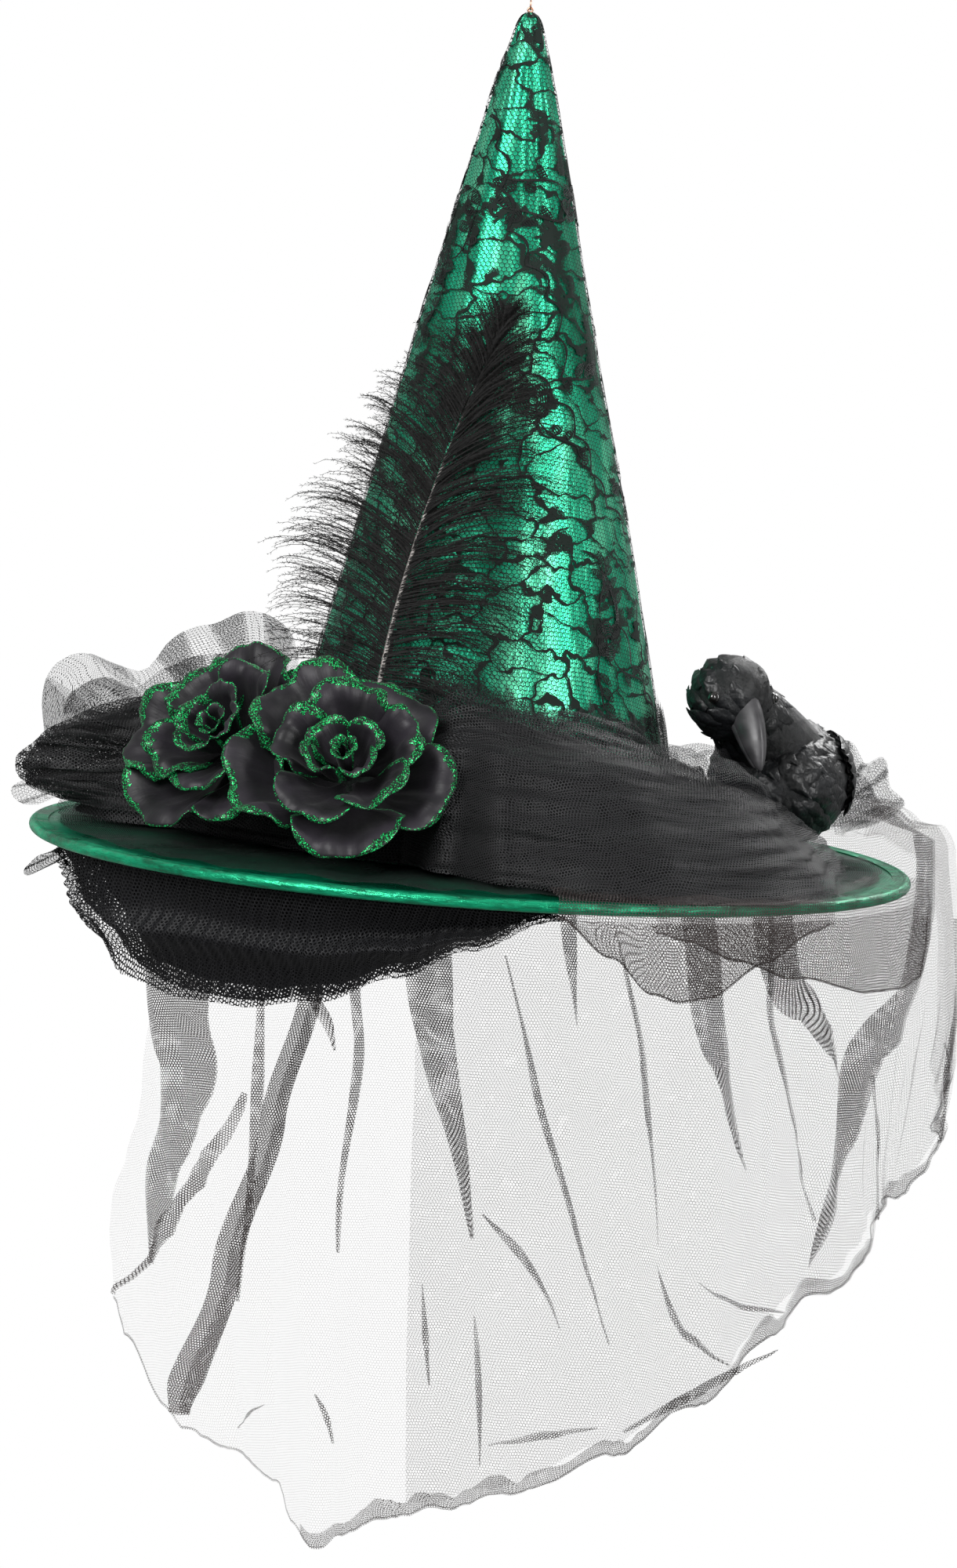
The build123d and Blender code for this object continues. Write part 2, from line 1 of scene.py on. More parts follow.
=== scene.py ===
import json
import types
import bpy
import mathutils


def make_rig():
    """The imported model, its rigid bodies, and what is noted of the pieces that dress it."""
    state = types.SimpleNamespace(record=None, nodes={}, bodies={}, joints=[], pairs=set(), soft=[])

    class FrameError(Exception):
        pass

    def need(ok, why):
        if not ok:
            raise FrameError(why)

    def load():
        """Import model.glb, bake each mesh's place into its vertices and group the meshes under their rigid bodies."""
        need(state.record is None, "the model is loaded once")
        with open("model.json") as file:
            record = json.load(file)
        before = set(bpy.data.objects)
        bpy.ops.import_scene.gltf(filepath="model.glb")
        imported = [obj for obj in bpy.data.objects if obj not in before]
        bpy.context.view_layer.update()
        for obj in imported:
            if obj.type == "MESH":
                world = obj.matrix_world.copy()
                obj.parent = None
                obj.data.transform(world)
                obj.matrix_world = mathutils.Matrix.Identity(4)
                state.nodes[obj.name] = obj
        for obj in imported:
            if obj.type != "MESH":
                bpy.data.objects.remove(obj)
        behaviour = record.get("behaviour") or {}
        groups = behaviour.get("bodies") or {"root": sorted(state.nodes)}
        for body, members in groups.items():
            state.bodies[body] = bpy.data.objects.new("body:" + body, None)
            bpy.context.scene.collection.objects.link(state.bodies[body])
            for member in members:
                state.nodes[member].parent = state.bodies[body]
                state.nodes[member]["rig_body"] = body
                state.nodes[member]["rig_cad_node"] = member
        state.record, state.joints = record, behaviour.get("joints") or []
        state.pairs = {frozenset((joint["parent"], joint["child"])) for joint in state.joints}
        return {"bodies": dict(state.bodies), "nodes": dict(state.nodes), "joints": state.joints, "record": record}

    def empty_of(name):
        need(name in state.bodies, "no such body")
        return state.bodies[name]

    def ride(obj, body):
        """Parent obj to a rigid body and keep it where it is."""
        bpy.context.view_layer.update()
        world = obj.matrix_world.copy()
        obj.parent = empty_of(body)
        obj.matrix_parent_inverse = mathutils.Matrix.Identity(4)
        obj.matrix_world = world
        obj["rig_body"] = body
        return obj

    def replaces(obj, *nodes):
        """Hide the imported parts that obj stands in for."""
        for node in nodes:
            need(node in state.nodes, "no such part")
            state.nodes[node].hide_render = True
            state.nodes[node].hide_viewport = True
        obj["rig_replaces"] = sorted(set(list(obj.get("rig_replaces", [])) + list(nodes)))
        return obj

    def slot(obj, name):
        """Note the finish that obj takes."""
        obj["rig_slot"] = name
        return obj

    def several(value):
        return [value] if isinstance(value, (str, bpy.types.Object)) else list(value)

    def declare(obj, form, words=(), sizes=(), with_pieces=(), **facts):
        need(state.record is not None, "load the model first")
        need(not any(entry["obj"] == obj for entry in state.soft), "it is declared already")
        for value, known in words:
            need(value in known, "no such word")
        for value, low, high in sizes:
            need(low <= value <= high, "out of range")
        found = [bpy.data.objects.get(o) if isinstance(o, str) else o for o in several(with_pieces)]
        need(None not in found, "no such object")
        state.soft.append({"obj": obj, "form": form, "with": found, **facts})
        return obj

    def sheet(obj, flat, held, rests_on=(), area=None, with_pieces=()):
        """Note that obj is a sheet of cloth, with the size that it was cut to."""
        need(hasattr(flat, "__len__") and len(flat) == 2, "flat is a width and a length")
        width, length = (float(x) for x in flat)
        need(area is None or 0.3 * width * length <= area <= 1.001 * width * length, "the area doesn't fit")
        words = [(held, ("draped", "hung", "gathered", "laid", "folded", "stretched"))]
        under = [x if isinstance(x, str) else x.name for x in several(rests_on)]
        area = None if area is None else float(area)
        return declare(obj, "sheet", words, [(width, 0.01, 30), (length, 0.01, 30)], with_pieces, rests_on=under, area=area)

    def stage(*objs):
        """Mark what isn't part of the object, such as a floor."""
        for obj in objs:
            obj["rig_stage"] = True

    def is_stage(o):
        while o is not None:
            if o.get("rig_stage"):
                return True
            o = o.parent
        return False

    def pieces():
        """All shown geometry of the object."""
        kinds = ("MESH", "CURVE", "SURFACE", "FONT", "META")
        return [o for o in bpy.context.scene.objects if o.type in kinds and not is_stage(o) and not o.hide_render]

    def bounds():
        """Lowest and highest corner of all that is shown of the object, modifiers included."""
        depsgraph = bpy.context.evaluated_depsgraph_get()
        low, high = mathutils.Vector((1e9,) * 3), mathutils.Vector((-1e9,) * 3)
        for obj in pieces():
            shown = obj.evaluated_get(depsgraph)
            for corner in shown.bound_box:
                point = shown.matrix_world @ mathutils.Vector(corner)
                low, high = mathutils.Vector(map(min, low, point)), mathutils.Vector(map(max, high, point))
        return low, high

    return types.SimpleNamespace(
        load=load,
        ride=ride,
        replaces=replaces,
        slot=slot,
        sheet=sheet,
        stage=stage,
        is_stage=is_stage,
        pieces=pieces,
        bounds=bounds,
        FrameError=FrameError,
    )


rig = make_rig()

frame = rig.load()

import json
import math
import random

import bpy
import numpy as np
from mathutils import Matrix, Vector, noise

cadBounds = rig.bounds()
mm = 0.001

view = {
    "distance": 3.2,  # metres from the hat to the camera
    "elevation": 5.9,  # degrees above the brim
    "lean": 4.1,  # degrees that the hat leans over to the right
    "frameHeight": 0.7105,  # metres of height that the picture takes in
    "centre": (0.0016, 0.0304),  # metres right of and above the brim's middle
}
studio = {
    "floorHeight": -0.385,
    "paleness": 1.0,  # how light the backdrop and floor look
    "skyLight": 0.42,
    "floorLight": 0.3,
    "keyPower": 62,
    "fillPower": 36,
    "rimPower": 34,
}


def cosd(angle):
    return math.cos(math.radians(angle))


def sind(angle):
    return math.sin(math.radians(angle))


def lerp(a, b, share):
    return a + (b - a) * share


def smooth(low, high, value):
    share = min(max((value - low) / (high - low), 0.0), 1.0)
    return share * share * (3 - 2 * share)


def curveAt(stops, place):
    # value of a smooth line through (place, value) stops
    if place <= stops[0][0]:
        return stops[0][1]
    for (a, low), (b, high) in zip(stops, stops[1:]):
        if place <= b:
            return lerp(low, high, smooth(a, b, place))
    return stops[-1][1]


def pointAlong(points, share):
    # a place on the smooth line through points
    spot = min(max(share, 0.0), 1.0) * (len(points) - 1)
    low = min(int(spot), len(points) - 2)
    t = spot - low
    near = [Vector(points[min(max(low + k, 0), len(points) - 1)]) for k in (-1, 0, 1, 2)]
    bend = (
        (2 * near[0] - 5 * near[1] + 4 * near[2] - near[3]) * t
        + (3 * near[1] - near[0] - 3 * near[2] + near[3]) * t * t
    )
    return near[1] + ((near[2] - near[0]) + bend) * t * 0.5


def wobble(x, y, z=0.0):
    return noise.noise(Vector((x, y, z)))


def deselectAll():
    for obj in list(bpy.context.selected_objects):
        obj.select_set(False)


def makeActive(obj):
    deselectAll()
    obj.select_set(True)
    bpy.context.view_layer.objects.active = obj


def settle(obj):
    # place, turn and size go into the mesh
    makeActive(obj)
    bpy.ops.object.transform_apply(location=True, rotation=True, scale=True)


def applyModifiers(obj):
    makeActive(obj)
    for modifier in list(obj.modifiers):
        bpy.ops.object.modifier_apply(modifier=modifier.name)


def joinPieces(pieces, name):
    deselectAll()
    for piece in pieces:
        piece.select_set(True)
    bpy.context.view_layer.objects.active = pieces[0]
    if len(pieces) > 1:
        bpy.ops.object.join()
    joined = bpy.context.object
    joined.name = name
    joined.data.name = name
    return joined


def shadeSmooth(obj):
    makeActive(obj)
    bpy.ops.object.shade_smooth()


def clothGrid(name, columns, rows, place):
    # a grid of cloth whose corner at (across, down) goes to place(across, down); its UV map is the flat
    # cloth in metres
    deselectAll()
    bpy.ops.mesh.primitive_grid_add(x_subdivisions=columns, y_subdivisions=rows, size=1, location=(0, 0, 0))
    obj = bpy.context.object
    obj.name = name
    mesh = obj.data
    mesh.name = name
    corners = np.empty(len(mesh.vertices) * 3)
    mesh.vertices.foreach_get("co", corners)
    corners = corners.reshape(-1, 3)
    across = np.rint((corners[:, 0] - corners[:, 0].min()) / np.ptp(corners[:, 0]) * columns).astype(int)
    down = np.rint(
        (0.5 - (corners[:, 1] - corners[:, 1].min()) / np.ptp(corners[:, 1]) + 0.5) * rows
    ).astype(int)
    points = np.array([place(i / columns, j / rows) for i, j in zip(across, down)])
    mesh.vertices.foreach_set("co", points.reshape(-1))
    table = np.zeros((rows + 1, columns + 1, 3))
    table[down, across] = points
    stepAcross = np.linalg.norm(np.diff(table, axis=1), axis=2)
    stepDown = np.linalg.norm(np.diff(table, axis=0), axis=2)
    flatX = np.concatenate([np.zeros((rows + 1, 1)), np.cumsum(stepAcross, axis=1)], axis=1)
    flatX -= flatX[:, columns // 2][:, None]
    flatY = np.concatenate([np.zeros((1, columns + 1)), np.cumsum(stepDown, axis=0)], axis=0)
    loops = np.empty(len(mesh.loops), dtype=int)
    mesh.loops.foreach_get("vertex_index", loops)
    flat = np.stack([flatX[down[loops], across[loops]], flatY[down[loops], across[loops]]], axis=1)
    mesh.uv_layers[0].data.foreach_set("uv", flat.reshape(-1))
    mesh.update()
    mesh.polygons.foreach_set("use_smooth", [True] * len(mesh.polygons))
    return obj


def flatCut(width, length, area=None, places=3):
    # the size a cloth was cut to, from its pattern in millimetres; it never reads the finished mesh
    flat = (round(width * mm, places), round(length * mm, places))
    return {"flat": flat, "area": None if area is None else round(area * mm * mm, 5)}


def lineAt(stops, place):
    # value of a straight-sided line through (place, value) stops, as a pattern is drawn
    places, values = zip(*stops)
    return float(np.interp(place, places, values))


def slices(start, end, count):
    # the middle of each of so many equal slices
    return [lerp(start, end, (number + 0.5) / count) for number in range(count)]


def flipIfInward(obj, outward):
    # turns the faces over when they point away from the side they should face
    mesh = obj.data
    score = sum(face.normal.dot(outward(face.center)) * face.area for face in mesh.polygons)
    if score < 0:
        mesh.flip_normals()


def dress(obj, material, body="hat", slotName=None, stands=()):
    obj.data.materials.clear()
    obj.data.materials.append(material)
    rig.ride(obj, body)
    if stands:
        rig.replaces(obj, *stands)
    if slotName:
        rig.slot(obj, slotName)
    return obj


# camera and studio

def aimCamera():
    lean = math.radians(view["lean"])
    tilt = math.radians(view["elevation"])
    forward = Vector((0, math.cos(tilt), -math.sin(tilt)))
    upright = Vector((0, math.sin(tilt), math.cos(tilt)))
    right = Vector((1, 0, 0))
    up = upright * math.cos(lean) - right * math.sin(lean)
    side = right * math.cos(lean) + upright * math.sin(lean)
    target = right * view["centre"][0] + upright * view["centre"][1]
    camera = bpy.data.objects.new("camera", bpy.data.cameras.new("camera"))
    bpy.context.collection.objects.link(camera)
    place = Matrix((side, up, -forward)).transposed().to_4x4()
    place.translation = target - forward * view["distance"]
    camera.matrix_world = place
    camera.data.sensor_fit = "VERTICAL"
    camera.data.sensor_height = 36
    camera.data.lens = 36 * view["distance"] / view["frameHeight"]
    camera.data.clip_end = 50
    bpy.context.scene.camera = camera


def areaLight(name, place, target, size, power, colour=(1, 1, 1)):
    lamp = bpy.data.lights.new(name, "AREA")
    lamp.shape = "RECTANGLE"
    lamp.size, lamp.size_y = size
    lamp.energy = power
    lamp.color = colour
    obj = bpy.data.objects.new(name, lamp)
    bpy.context.collection.objects.link(obj)
    obj.location = place
    obj.rotation_euler = (Vector(target) - Vector(place)).to_track_quat("-Z", "Y").to_euler()


def buildStudio():
    scene = bpy.context.scene
    world = bpy.data.worlds.new("studio")
    scene.world = world
    world.use_nodes = True
    backdrop = world.node_tree.nodes["Background"]
    backdrop.inputs["Color"].default_value = (1, 1, 1, 1)
    paths = world.node_tree.nodes.new("ShaderNodeLightPath")
    w = Wires(world.node_tree)
    strength = w.blendNumber(paths.outputs["Is Camera Ray"], studio["skyLight"], studio["paleness"])
    w.put(backdrop.inputs["Strength"], strength)
    scene.view_settings.view_transform = "Standard"
    scene.cycles.transparent_max_bounces = 48
    areaLight("key", (-1.3, -1.7, 1.5), (0, 0, 0.1), (1.0, 1.6), studio["keyPower"])
    areaLight("fill", (1.6, -1.3, 0.9), (0, 0, 0.1), (0.5, 1.8), studio["fillPower"])
    areaLight("rim", (0.9, 1.6, 1.4), (0, 0, 0.15), (1.0, 1.0), studio["rimPower"])
    deselectAll()
    bpy.ops.mesh.primitive_plane_add(size=14, location=(0, 3, studio["floorHeight"]))
    floor = bpy.context.object
    floor.name = "floor"
    settle(floor)
    material = bpy.data.materials.new("paleFloor")
    material.use_nodes = True
    shader = material.node_tree.nodes["Principled BSDF"]
    shader.inputs["Base Color"].default_value = (0.0, 0.0, 0.0, 1)
    shader.inputs["Roughness"].default_value = 1.0
    shader.inputs["Specular IOR Level"].default_value = 0.0
    shader.inputs["Emission Color"].default_value = (1, 1, 1, 1)
    paths = material.node_tree.nodes.new("ShaderNodeLightPath")
    w = Wires(material.node_tree)
    glow = w.blendNumber(paths.outputs["Is Camera Ray"], studio["floorLight"], studio["paleness"])
    shader.inputs["Emission Strength"].default_value = 1.0
    w.put(shader.inputs["Emission Color"], w.combine(glow, glow, glow))
    floor.data.materials.append(material)
    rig.stage(floor)


# shader groups

def newGroup(name, inputs, outputs):
    group = bpy.data.node_groups.new(name, "ShaderNodeTree")
    for label, kind, value in inputs:
        socket = group.interface.new_socket(name=label, in_out="INPUT", socket_type=kind)
        if value is not None:
            socket.default_value = value
    for label, kind in outputs:
        group.interface.new_socket(name=label, in_out="OUTPUT", socket_type=kind)
    tree = group.nodes
    return group, tree.new("NodeGroupInput"), tree.new("NodeGroupOutput")


class Wires:
    # short ways to add nodes to one tree

    def __init__(self, tree):
        self.tree = tree

    def put(self, socket, value):
        if hasattr(value, "links"):
            self.tree.links.new(value, socket)
        else:
            socket.default_value = value

    def sums(self, operation, *values, clamp=False):
        node = self.tree.nodes.new("ShaderNodeMath")
        node.operation = operation
        node.use_clamp = clamp
        for socket, value in zip(node.inputs, values):
            self.put(socket, value)
        return node.outputs[0]

    def vector(self, operation, *values):
        node = self.tree.nodes.new("ShaderNodeVectorMath")
        node.operation = operation
        for socket, value in zip(node.inputs, values):
            self.put(socket, value)
        return (
            node.outputs["Value"] if operation in ("DOT_PRODUCT", "LENGTH", "DISTANCE") else node.outputs[0]
        )

    def parts(self, value):
        node = self.tree.nodes.new("ShaderNodeSeparateXYZ")
        self.put(node.inputs[0], value)
        return node.outputs

    def combine(self, x, y, z=0.0):
        node = self.tree.nodes.new("ShaderNodeCombineXYZ")
        for socket, value in zip(node.inputs, (x, y, z)):
            self.put(socket, value)
        return node.outputs[0]

    def scale(self, value, factor):
        node = self.tree.nodes.new("ShaderNodeVectorMath")
        node.operation = "SCALE"
        self.put(node.inputs[0], value)
        self.put(node.inputs["Scale"], factor)
        return node.outputs[0]

    def ramp(self, value, low, high, to=(0.0, 1.0)):
        node = self.tree.nodes.new("ShaderNodeMapRange")
        node.interpolation_type = "SMOOTHSTEP"
        for socket, number in zip(node.inputs, (value, low, high, to[0], to[1])):
            self.put(socket, number)
        return node.outputs[0]

    def noise(self, place, scale, detail=2.0, rough=0.5):
        node = self.tree.nodes.new("ShaderNodeTexNoise")
        self.put(node.inputs["Vector"], place)
        self.put(node.inputs["Scale"], scale)
        node.inputs["Detail"].default_value = detail
        node.inputs["Roughness"].default_value = rough
        return node.outputs

    def voronoi(self, place, scale, feature="F1", space="2D", spread=1.0):
        node = self.tree.nodes.new("ShaderNodeTexVoronoi")
        node.voronoi_dimensions = space
        node.feature = feature
        self.put(node.inputs["Vector"], place)
        self.put(node.inputs["Scale"], scale)
        node.inputs["Randomness"].default_value = spread
        return node.outputs

    def mix(self, share, low, high):
        node = self.tree.nodes.new("ShaderNodeMix")
        node.data_type = "RGBA"
        self.put(node.inputs[0], share)
        self.put(node.inputs[6], low)
        self.put(node.inputs[7], high)
        return node.outputs[2]

    def blendNumber(self, share, low, high):
        node = self.tree.nodes.new("ShaderNodeMix")
        self.put(node.inputs[0], share)
        self.put(node.inputs[2], low)
        self.put(node.inputs[3], high)
        return node.outputs[0]

    def bump(self, height, strength, distance):
        node = self.tree.nodes.new("ShaderNodeBump")
        node.inputs["Strength"].default_value = strength
        node.inputs["Distance"].default_value = distance
        self.put(node.inputs["Height"], height)
        return node.outputs[0]

    def useGroup(self, group, **values):
        node = self.tree.nodes.new("ShaderNodeGroup")
        node.node_tree = group
        for label, value in values.items():
            self.put(node.inputs[label], value)
        return node.outputs

    def cloth(self):
        node = self.tree.nodes.new("ShaderNodeUVMap")
        return node.outputs[0]

    def place(self):
        return self.tree.nodes.new("ShaderNodeTexCoord").outputs["Object"]


def newMaterial(name):
    material = bpy.data.materials.new(name)
    material.use_nodes = True
    tree = material.node_tree
    return material, tree.nodes["Principled BSDF"], Wires(tree)


def hexNetGroup():
    # threads of a six-sided net; Cell is its width and Thread the thread's share of that width
    group, start, end = newGroup(
        "hexNet",
        [
            ("Cloth", "NodeSocketVector", None), ("Cell", "NodeSocketFloat", 0.0015),
            ("Thread", "NodeSocketFloat", 0.1)
        ],
        [("Mask", "NodeSocketFloat")],
    )
    w = Wires(group)
    step = (1.0, 1.7320508, 1.0)
    half = (0.5, 0.8660254, 0.5)
    place = w.scale(start.outputs["Cloth"], w.sums("DIVIDE", 1.0, start.outputs["Cell"]))
    spots = []
    for shift in ((0.0, 0.0, 0.0), half):
        wrapped = w.vector("WRAP", w.vector("SUBTRACT", place, shift), step, (0.0, 0.0, 0.0))
        local = w.vector("SUBTRACT", wrapped, half)
        x, y, _ = w.parts(w.vector("ABSOLUTE", local))
        far = w.sums("ADD", w.sums("MULTIPLY", x, x), w.sums("MULTIPLY", y, y))
        reach = w.sums(
            "MAXIMUM", x, w.sums("ADD", w.sums("MULTIPLY", x, 0.5), w.sums("MULTIPLY", y, 0.8660254))
        )
        spots.append((far, reach))
    nearer = w.sums("LESS_THAN", spots[0][0], spots[1][0])
    reach = w.blendNumber(nearer, spots[1][1], spots[0][1])
    limit = w.sums("SUBTRACT", 0.5, w.sums("MULTIPLY", start.outputs["Thread"], 0.5))
    w.put(end.inputs["Mask"], w.sums("GREATER_THAN", reach, limit))
    return group


def glitterGroup():
    # loose flakes near a petal's rim; Rim is the distance from the rim in metres, and Sparkle is a random brightness
    # per flake that serves as painted glint
    group, start, end = newGroup(
        "glitter",
        [
            ("Place", "NodeSocketVector", None), ("Rim", "NodeSocketFloat", 0.0),
            ("Width", "NodeSocketFloat", 0.004)
        ],
        [("Mask", "NodeSocketFloat"), ("Sparkle", "NodeSocketFloat"), ("Height", "NodeSocketFloat")],
    )
    w = Wires(group)
    ragged = w.noise(start.outputs["Place"], 260.0, 3.0)[0]
    width = w.sums("MULTIPLY", start.outputs["Width"], w.sums("ADD", w.sums("MULTIPLY", ragged, 1.6), 0.2))
    inside = w.sums("LESS_THAN", start.outputs["Rim"], width)
    flakes = w.voronoi(start.outputs["Place"], 2600.0, space="3D")
    tone = w.parts(flakes["Color"])
    w.put(end.inputs["Mask"], w.sums("MULTIPLY", inside, w.sums("GREATER_THAN", tone[0], 0.18)))
    # painted glint: a random brightness for each flake
    w.put(end.inputs["Sparkle"], w.sums("POWER", tone[1], 3.0))
    w.put(end.inputs["Height"], tone[2])
    return group


def weaveGroup():
    # crossed threads as a height; Pitch is the threads' spacing
    group, start, end = newGroup(
        "weave",
        [("Place", "NodeSocketVector", None), ("Pitch", "NodeSocketFloat", 0.0006)],
        [("Height", "NodeSocketFloat")],
    )
    w = Wires(group)
    place = w.scale(start.outputs["Place"], w.sums("DIVIDE", 6.2831853, start.outputs["Pitch"]))
    x, y, z = w.parts(place)
    across = w.sums("SINE", w.sums("ADD", x, w.sums("MULTIPLY", z, 0.5)))
    along = w.sums("SINE", w.sums("ADD", y, w.sums("MULTIPLY", z, 0.5)))
    w.put(end.inputs["Height"], w.sums("MULTIPLY", across, along))
    return group


hexNet = hexNetGroup()
glitter = glitterGroup()
weave = weaveGroup()


def netCloth(name, cell, thread, colour=(0.012, 0.012, 0.013), patchy=0.25):
    # see-through net: only the threads are there
    material, shader, w = newMaterial(name)
    cloth = w.cloth()
    drift = w.noise(cloth, 26.0, 2.0)[0]
    width = w.sums("MULTIPLY", thread, w.sums("ADD", 1.0 - patchy / 2, w.sums("MULTIPLY", drift, patchy)))
    bent = w.vector(
        "ADD", cloth, w.scale(w.vector("SUBTRACT", w.noise(cloth, 60.0, 1.0)[1], (0.5, 0.5, 0.5)), 0.0012)
    )
    mask = w.useGroup(hexNet, Cloth=bent, Cell=cell, Thread=width)["Mask"]
    w.put(shader.inputs["Alpha"], mask)
    w.put(shader.inputs["Base Color"], w.mix(drift, (*colour, 1), (*[c * 2.2 for c in colour], 1)))
    shader.inputs["Roughness"].default_value = 0.6
    shader.inputs["Specular IOR Level"].default_value = 0.3
    return material


def satinCloth(name, shadeTone, middle, highlightTone, creaseScale=(30, 30, 7), strength=0.5):
    # glossy cloth whose creases run up the hat; its base colour carries painted shade in the crease valleys and
    # painted highlights on the raised folds, from the same noise as the bump
    material, shader, w = newMaterial(name)
    place = w.place()
    crease = w.noise(w.vector("MULTIPLY", place, creaseScale), 1.0, 3.0, 0.5)[0]
    streak = w.noise(w.vector("MULTIPLY", place, tuple(3.2 * size for size in creaseScale)), 1.0, 3.0, 0.6)[0]
    fine = w.noise(w.vector("MULTIPLY", place, (240, 240, 60)), 1.0, 3.0, 0.6)[0]
    field = w.sums("ADD", w.sums("MULTIPLY", crease, 0.72), w.sums("MULTIPLY", streak, 0.28))
    # painted shade: the crease valleys take the dark tone, and painted highlight: the raised folds take the light tone
    tone = w.mix(w.ramp(field, 0.36, 0.53), (*shadeTone, 1), (*middle, 1))
    w.put(shader.inputs["Base Color"], w.mix(w.ramp(field, 0.50, 0.66), tone, (*highlightTone, 1)))
    threads = w.useGroup(weave, Place=place, Pitch=0.0009)["Height"]
    height = w.sums(
        "ADD", w.sums("ADD", field, w.sums("MULTIPLY", fine, 0.12)), w.sums("MULTIPLY", threads, 0.006)
    )
    w.put(shader.inputs["Normal"], w.bump(height, strength, 0.005))
    w.put(shader.inputs["Roughness"], w.ramp(streak, 0.3, 0.7, (0.26, 0.4)))
    shader.inputs["Metallic"].default_value = 0.6
    shader.inputs["Specular IOR Level"].default_value = 0.6
    return material


def plainCloth(name, colour, pitch=0.0008, rough=0.85, strength=0.5):
    material, shader, w = newMaterial(name)
    place = w.place()
    patch = w.noise(place, 45.0, 3.0)[0]
    w.put(
        shader.inputs["Base Color"],
        w.mix(patch, (*[c * 0.6 for c in colour], 1), (*[c * 1.5 for c in colour], 1))
    )
    threads = w.useGroup(weave, Place=place, Pitch=pitch)["Height"]
    w.put(
        shader.inputs["Normal"],
        w.bump(w.sums("ADD", threads, w.sums("MULTIPLY", patch, 2.0)), strength, 0.0003)
    )
    shader.inputs["Roughness"].default_value = rough
    shader.inputs["Specular IOR Level"].default_value = 0.25
    return material


def metalWire(name, colour, rough):
    material, shader, w = newMaterial(name)
    place = w.place()
    streak = w.noise(place, 900.0, 2.0)[0]
    w.put(shader.inputs["Base Color"], w.mix(streak, (*[c * 0.75 for c in colour], 1), (*colour, 1)))
    w.put(shader.inputs["Roughness"], w.ramp(streak, 0.2, 0.8, (rough * 0.7, rough * 1.4)))
    shader.inputs["Metallic"].default_value = 1.0
    return material


aimCamera()
buildStudio()
print("studio and camera ready")

# crown: satin, lace and the lace's motifs

crown = {
    "foot": 96.0,  # radius at the brim
    "slope": 0.2416,
    "shoulder": 358.0,  # height where the tip starts to draw in
    "tip": 378.6,
    "satinLift": -0.2,
    "laceLift": 0.75,
    "foldDepth": 1.5,
    "pleats": 9,
    "columns": 168,
    "rows": 150,
}
crownHalfAngle = math.atan(crown["slope"])
crownApex = crown["foot"] / crown["slope"]


def crownFold(angle, height):
    x, y = cosd(angle), sind(angle)
    broad = wobble(x * 1.7 + 3, y * 1.7, height * 0.006)
    narrow = wobble(x * 6, y * 6 + 5, height * 0.011)
    crease = abs(wobble(x * 4 + 9, y * 4, height * 0.02 + x * 2))
    seam = math.exp(-((angle - 90) * math.radians(1) * (crown["foot"] - crown["slope"] * height) / 2.2) ** 2)
    fade = 1 - smooth(330, 372, height)
    return (
        crown["foldDepth"] * (broad * 1.2 + narrow * 0.5 + 0.35) - crease * 0.8
    ) * fade + seam * 0.9 * fade + 0.3


def crownPoint(angle, height, lift):
    radius = crown["foot"] - crown["slope"] * height
    if height > crown["shoulder"]:
        share = (height - crown["shoulder"]) / (crown["tip"] - crown["shoulder"])
        shoulder = crown["foot"] - crown["slope"] * crown["shoulder"]
        radius = lerp(shoulder, 3.4, share ** 0.92) * math.sqrt(max(1 - share ** 9, 0))
        radius = max(radius, 0.62) * (1 + 0.12 * share * cosd(angle * crown["pleats"]))
    radius += lift + crownFold(angle, height)
    return Vector((radius * cosd(angle), radius * sind(angle), height)) * mm


def crownFlat(angle, height):
    # where a place on the cone lies when the cloth is unrolled
    slant = (crownApex - height) / math.cos(crownHalfAngle)
    turn = math.radians(angle - 270) * math.sin(crownHalfAngle)
    return slant * math.sin(turn) * mm, -slant * math.cos(turn) * mm


def crownCloth(name, lift, material, foot):
    rows, columns = crown["rows"], crown["columns"]

    def heightAt(down):
        return lerp(crown["tip"], foot, down ** 1.12)

    obj = clothGrid(
        name, columns, rows, lambda across, down: crownPoint(90 + 360 * across, heightAt(down), lift)
    )
    flat = np.array([crownFlat(90 + 360 * i / columns, heightAt(j / rows)) for j in range(rows + 1) for i in range(columns + 1)])
    loops = np.empty(len(obj.data.loops), dtype=int)
    obj.data.loops.foreach_get("vertex_index", loops)
    row, column = rows - loops // (columns + 1), loops % (columns + 1)
    obj.data.uv_layers[0].data.foreach_set("uv", flat[row * (columns + 1) + column].reshape(-1))
    makeActive(obj)
    bpy.ops.object.mode_set(mode="EDIT")
    bpy.ops.mesh.select_all(action="SELECT")
    bpy.ops.mesh.remove_doubles(threshold=0.00003)
    bpy.ops.object.mode_set(mode="OBJECT")
    flipIfInward(obj, lambda spot: Vector((spot.x, spot.y, 0.0)))
    obj.data.materials.clear()
    return dress(obj, material)


